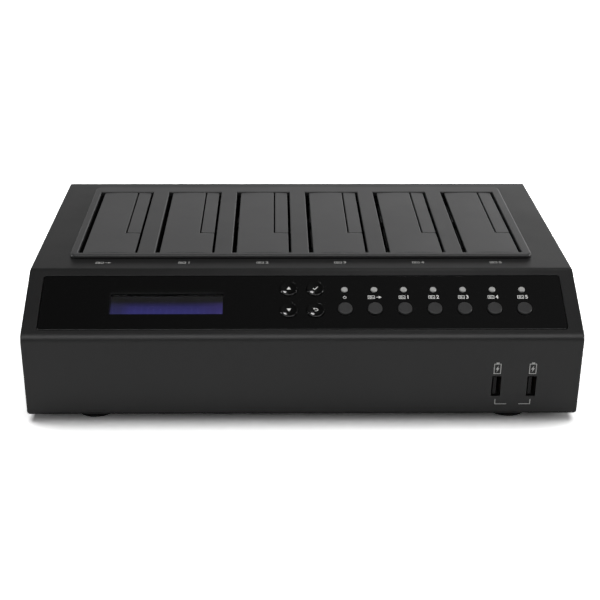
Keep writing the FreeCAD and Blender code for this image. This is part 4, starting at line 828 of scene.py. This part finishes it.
def spring_tree():
    """Row of wound springs along Y, each a helix of round wire with a straight leg at one end."""
    tree, given, output = geometry_tree("wound_springs", [
        ("Springs", "NodeSocketInt", BAYS), ("Pitch", "NodeSocketFloat", BAY_PITCH),
        ("Turns", "NodeSocketFloat", 14.0), ("Length", "NodeSocketFloat", 0.0095),
        ("Coil radius", "NodeSocketFloat", 0.0013), ("Wire radius", "NodeSocketFloat", 0.00025),
        ("Leg", "NodeSocketFloat", -0.0024), ("Leg share", "NodeSocketFloat", 0.5),
        ("Middle", "NodeSocketVector", None), ("Material", "NodeSocketMaterial", None)])
    coil = add(tree, "GeometryNodeCurveSpiral", {
        "Resolution": 18, "Rotations": given["Turns"], "Start Radius": given["Coil radius"],
        "End Radius": given["Coil radius"], "Height": given["Length"]})
    quarter = math.radians(90)
    half = calculate(tree, "MULTIPLY", given["Length"], -0.5)
    centred = moved(tree, coil.outputs[0], vector(tree, 0.0, 0.0, half), (0.0, 0.0, -quarter))
    laid = moved(tree, centred, turn=(quarter, 0.0, 0.0))
    under = calculate(tree, "MULTIPLY", given["Coil radius"], -1.0)
    end = calculate(tree, "MULTIPLY", given["Length"], given["Leg share"])
    leg = add(tree, "GeometryNodeCurvePrimitiveLine", {"Start": vector(tree, 0.0, end, under),
                                                       "End": vector(tree, given["Leg"], end, under)})
    wire = add(tree, "GeometryNodeJoinGeometry")
    tree.links.new(laid, wire.inputs[0])
    tree.links.new(leg.outputs[0], wire.inputs[0])
    section = add(tree, "GeometryNodeCurvePrimitiveCircle",
                  {"Resolution": 8, "Radius": given["Wire radius"]})
    solid = add(tree, "GeometryNodeCurveToMesh",
                {"Curve": wire.outputs[0], "Profile Curve": section.outputs[0], "Fill Caps": True})
    places = row_of_points(tree, given["Springs"], given["Middle"], vector(tree, given["Pitch"]))
    close_tree(tree, copied(tree, places, solid.outputs[0]), given["Material"], output)
    return tree


def springs():
    """Wound wire in place of the springs' plain tubes, each with its leg towards the bay's wall."""
    tree = spring_tree()
    row = (BAYS - 1) * BAY_PITCH
    for node, coil, wire, leg, turns in (
            ("bay_door_springs", 1.3, 0.25, -2.4, 15.0),
            ("small_door_springs", 1.05, 0.2, 1.38, 18.0)):
        low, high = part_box(node)
        outer = (coil + wire) * MM
        first = high.x - outer - row if leg < 0 else low.x + outer
        piece = grow("wound_" + node, tree, {
            "Turns": turns, "Length": high.y - low.y - 2 * wire * MM, "Coil radius": coil * MM,
            "Wire radius": wire * MM, "Leg": leg * MM, "Leg share": math.copysign(0.5, -leg),
            "Springs": BAYS, "Pitch": BAY_PITCH, "Middle": (first, (low.y + high.y) / 2, high.z - outer),
        }, MATERIALS["spring_steel"], "housing", "spring_steel")
        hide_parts(node)


def block_tree():
    """Rows of small blocks: one row, copied along a second row."""
    tree, given, output = geometry_tree("block_rows", [
        ("Blocks", "NodeSocketInt", 1), ("Step", "NodeSocketVector", None),
        ("Size", "NodeSocketVector", None), ("Rows", "NodeSocketInt", BAYS),
        ("Row step", "NodeSocketVector", None), ("First", "NodeSocketVector", None),
        ("Material", "NodeSocketMaterial", None)])
    block = add(tree, "GeometryNodeMeshCube", {"Size": given["Size"]}).outputs["Mesh"]
    row = copied(tree, row_of_points(tree, given["Blocks"], (0.0, 0.0, 0.0), given["Step"]), block)
    rows = copied(tree, row_of_points(tree, given["Rows"], given["First"], given["Row step"]), row)
    close_tree(tree, rows, given["Material"], output)
    return tree


BLOCKS = block_tree()


def rows(name, count, step, size, copies, row_step, first, slot, material=CONTACT_GOLD):
    """Rows of small blocks on the housing, given in millimetres."""
    grow(name, BLOCKS, {"Blocks": count, "Step": metres(step), "Size": metres(size), "Rows": copies,
                        "Row step": metres(row_step), "First": metres(first)},
         material, "housing", slot)


def contacts():
    """Gold fingers in the drive sockets, on the charging ports' tongues and in the host ports."""
    low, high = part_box("drive_connectors")
    wall = low.x / MM + SOCKET_MIDDLE - SLOT_HALF + GOLD / 2
    socket_y = (low.y + high.y) / 2 / MM
    for name, count, start in (("power", 15, -16.5 + 2.1), ("data", 7, 7.9 + 0.7)):
        rows("socket_%s_contacts" % name, count, (0, FINGER_PITCH, 0), (GOLD, *FINGER_SIZE),
             BAYS, (BAY_PITCH / MM, 0, 0), (wall, socket_y + start, FINGER_Z), "connector_black")
    tongue_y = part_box("charge_port_tongues")[0].y / MM
    tongue_x = PORT_X[0] + TONGUE_FACE + GOLD / 2
    ports = (PORT_X[1] - PORT_X[0], 0, 0)
    for name, step, length, back, down in (
            ("charge_contacts", 7.0, 6.6, 4.3, 3.5), ("charge_data_contacts", 2.0, 5.6, 4.8, 1.0)):
        rows(name, 2, (0, 0, step), (GOLD, length, 1.0), 2, ports,
             (tongue_x, tongue_y + back, PORT_Z - down), "tongue_plastic")
    for name, count, step, width, tongue in (
            ("host_port", 2, 2.5, 1.2, 5.2), ("link_port", 7, FINGER_PITCH, 0.6, 1.8)):
        low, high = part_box(name)
        x, z = (low.x + high.x) / 2 / MM - (count - 1) / 2 * step, (low.z + high.z) / 2 / MM
        rows(name + "_contacts", count, (step, 0, 0), (width, 5.0, GOLD), 2, (0, 0, tongue + GOLD),
             (x, high.y / MM - 3.2, z - (tongue + GOLD) / 2), "port_metal")


def screw_crosses():
    """Painted shade: thin dark cross-shaped plates on the heads of the six case screws underneath, standing
    for their cross recesses.
    """
    low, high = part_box("case_screws")
    reach = (high.y - low.y) / MM - 2 * SCREW_HEAD
    for index, x in enumerate(SCREW_X):
        for name, size in (("along", (CROSS_LENGTH, CROSS_WIDTH, CROSS_DEPTH)),
                           ("across", (CROSS_WIDTH, CROSS_LENGTH, CROSS_DEPTH))):
            rows("screw_cross_%d_%s" % (index + 1, name), 1, (0, 0, 0), size, 2, (0, reach, 0),
                 (x, low.y / MM + SCREW_HEAD, low.z / MM - 0.5 * CROSS_DEPTH), "screw_steel", SCREW_RECESS_SHADE)


def dot_tree():
    """Two lines of character cells, each a small grid of square dots, laid on the sloping panel."""
    tree, given, output = geometry_tree("display_dots", [
        ("Dot", "NodeSocketVector", None), ("Dot pitch", "NodeSocketFloat", DOT_PITCH * MM),
        ("Character pitch", "NodeSocketFloat", CHARACTER_PITCH * MM),
        ("Line pitch", "NodeSocketFloat", LINE_PITCH * MM),
        ("Characters", "NodeSocketInt", CHARACTERS), ("Place", "NodeSocketVector", None),
        ("Turn", "NodeSocketVector", None), ("Material", "NodeSocketMaterial", None)])
    dot = add(tree, "GeometryNodeMeshCube", {"Size": given["Dot"]}).outputs["Mesh"]
    cell = grid_of_points(tree, *CELL_DOTS,
                          calculate(tree, "MULTIPLY", given["Dot pitch"], CELL_DOTS[0] - 1.0),
                          calculate(tree, "MULTIPLY", given["Dot pitch"], CELL_DOTS[1] - 1.0))
    gaps = calculate(tree, "SUBTRACT", given["Characters"], 1.0)
    text = grid_of_points(tree, given["Characters"], LINES,
                          calculate(tree, "MULTIPLY", given["Character pitch"], gaps), given["Line pitch"])
    lines = copied(tree, text, copied(tree, cell, dot))
    close_tree(tree, moved(tree, lines, given["Place"], given["Turn"]), given["Material"], output)
    return tree


def display_dots():
    """Unlit dots of the display's two lines, just darker than the glass round them."""
    place = panel_point(DISPLAY_X, DISPLAY_S, GLASS_LIFT + INK_LIFT + INK + 0.5 * INK)
    grow("display_dots", dot_tree(), {
        "Dot": metres((DOT, DOT, INK)), "Dot pitch": DOT_PITCH * MM,
        "Character pitch": CHARACTER_PITCH * MM, "Line pitch": LINE_PITCH * MM,
        "Characters": CHARACTERS, "Place": tuple(place), "Turn": (PANEL_ANGLE, 0.0, 0.0),
    }, DOTS_LIT, "housing", "display_dark")


springs()
contacts()
screw_crosses()
display_dots()


# Studio: floor, lamps, world and camera

def studio_floor():
    """Floor that shows white to the camera, keeps the soft shadow and is clear from underneath."""
    data = bpy.data.meshes.new("floor")
    corners = [(side * FLOOR_REACH, end * FLOOR_REACH, 0)
               for side, end in ((-1, -1), (1, -1), (1, 1), (-1, 1))]
    data.from_pydata(corners, [], [(0, 1, 2, 3)])
    floor = bpy.data.objects.new("floor", data)
    bpy.context.scene.collection.objects.link(floor)
    material = bpy.data.materials.new("floor_paper")
    material.use_nodes = True
    tree = material.node_tree
    tree.nodes.clear()
    path = add(tree, "ShaderNodeLightPath").outputs
    tone = mixed(tree, path["Is Glossy Ray"], PAPER, PAPER_MIRRORED)
    seen = calculate(tree, "MAXIMUM", path["Is Camera Ray"], path["Is Transmission Ray"])
    paper = add(tree, "ShaderNodeBsdfDiffuse", {"Color": mixed(tree, seen, tone, PAPER_SEEN)})
    under = add(tree, "ShaderNodeNewGeometry").outputs["Backfacing"]
    clear = add(tree, "ShaderNodeBsdfTransparent")
    sheet = add(tree, "ShaderNodeMixShader", {0: under, 1: paper.outputs[0], 2: clear.outputs[0]})
    output = add(tree, "ShaderNodeOutputMaterial")
    tree.links.new(sheet.outputs[0], output.inputs["Surface"])
    data.materials.append(material)


def lamp(name, place, aim, size, power, diffuse=True, glossy=True):
    """Soft oblong lamp, aimed at a point, that can be kept out of plain light or out of reflections."""
    data = bpy.data.lights.new(name, "AREA")
    data.shape = "RECTANGLE"
    data.size, data.size_y = size
    data.energy = power
    lamp_object = bpy.data.objects.new(name, data)
    lamp_object.location = place
    lamp_object.rotation_euler = (Vector(aim) - Vector(place)).to_track_quat("-Z", "Y").to_euler()
    lamp_object.visible_camera = False
    lamp_object.visible_diffuse = diffuse
    lamp_object.visible_glossy = glossy
    lamp_object.visible_transmission = glossy
    bpy.context.scene.collection.objects.link(lamp_object)


def studio_world():
    """White for the eye, and low down in reflections and glass; other light is pale only low down behind."""
    world = bpy.data.worlds.new("studio")
    bpy.context.scene.world = world
    world.use_nodes = True
    tree = world.node_tree
    tree.nodes.clear()
    path = add(tree, "ShaderNodeLightPath").outputs
    direction = add(tree, "ShaderNodeTexCoord").outputs["Generated"]
    axes = add(tree, "ShaderNodeSeparateXYZ", {0: direction}).outputs
    mirrored = calculate(tree, "MAXIMUM", path["Is Glossy Ray"], path["Is Transmission Ray"])
    front = blend(tree, mirrored, WORLD_FRONT, WORLD_FRONT_SEEN)
    back = blend(tree, ramp(tree, axes["Z"], *BACK_FADES), WORLD_BACK, WORLD_DARK)
    level = blend(tree, ramp(tree, axes["Y"], *FRONT_TO_BACK), front, back)
    level = blend(tree, ramp(tree, axes["Z"], *ZENITH_STARTS), level, WORLD_ZENITH)
    sideways = calculate(tree, "MULTIPLY_ADD", axes["X"], WORLD_LEAN, 1.0)
    sideways = calculate(tree, "MAXIMUM", sideways, WORLD_LEAN_LEAST)
    level = calculate(tree, "MULTIPLY", level, calculate(tree, "MINIMUM", sideways, WORLD_LEAN_MOST))
    low = calculate(tree, "MULTIPLY", mirrored, ramp(tree, axes["Z"], *WHITE_UNDER))
    shown = calculate(tree, "MAXIMUM", path["Is Camera Ray"], low)
    level = calculate(tree, "MAXIMUM", level, shown)
    background = add(tree, "ShaderNodeBackground", {"Color": level, "Strength": 1.0})
    output = add(tree, "ShaderNodeOutputWorld")
    tree.links.new(background.outputs[0], output.inputs["Surface"])


def studio_camera():
    """Camera at the photograph's place, with the small shift that its framing needs."""
    pitch, yaw = CAMERA_PITCH, CAMERA_YAW
    forward = Vector((math.sin(yaw) * math.cos(pitch), math.cos(yaw) * math.cos(pitch), -math.sin(pitch)))
    right = Vector((math.cos(yaw), -math.sin(yaw), 0))
    up = right.cross(forward)
    turned_right = right * math.cos(CAMERA_ROLL) + up * math.sin(CAMERA_ROLL)
    turned_up = up * math.cos(CAMERA_ROLL) - right * math.sin(CAMERA_ROLL)
    data = bpy.data.cameras.new("camera")
    data.sensor_fit = "HORIZONTAL"
    data.sensor_width = SENSOR_MM
    data.lens = SENSOR_MM * FOCAL_PIXELS / FRAME_PIXELS
    data.shift_x = (FRAME_PIXELS / 2 - MIDDLE_PIXELS[0]) / FRAME_PIXELS
    data.shift_y = (MIDDLE_PIXELS[1] - FRAME_PIXELS / 2) / FRAME_PIXELS
    camera = bpy.data.objects.new("camera", data)
    turn = Matrix((turned_right, turned_up, -forward)).transposed()
    camera.matrix_world = Matrix.Translation(CAMERA_AT) @ turn.to_4x4()
    bpy.context.scene.collection.objects.link(camera)
    bpy.context.scene.camera = camera


studio_floor()
studio_world()
studio_camera()

# Each lamp's place, aim and size in metres, and its power in watts
# The key gives the plain light, and the others only show in reflections
lamp("key_lamp", (0.1, 0.7, 3.0), AIM, (5.0, 1.5), 115, glossy=False)
lamp("left_lamp", (-1.75, -0.1, 0.3), AIM, (0.5, 0.4), 12, diffuse=False)
lamp("right_lamp", (1.75, -0.1, 0.3), AIM, (0.5, 0.4), 12, diffuse=False)
lamp("small_lamp", (0.24, 0.52, 1.36), (0, -0.07, 0.06), (0.17, 0.12), 1.0, diffuse=False)
lamp("front_lamp", (0.0, -1.05, 1.15), (0, -0.08, 0.04), (2.2, 0.9), 18, diffuse=False)
bpy.context.scene.view_settings.view_transform = "Standard"
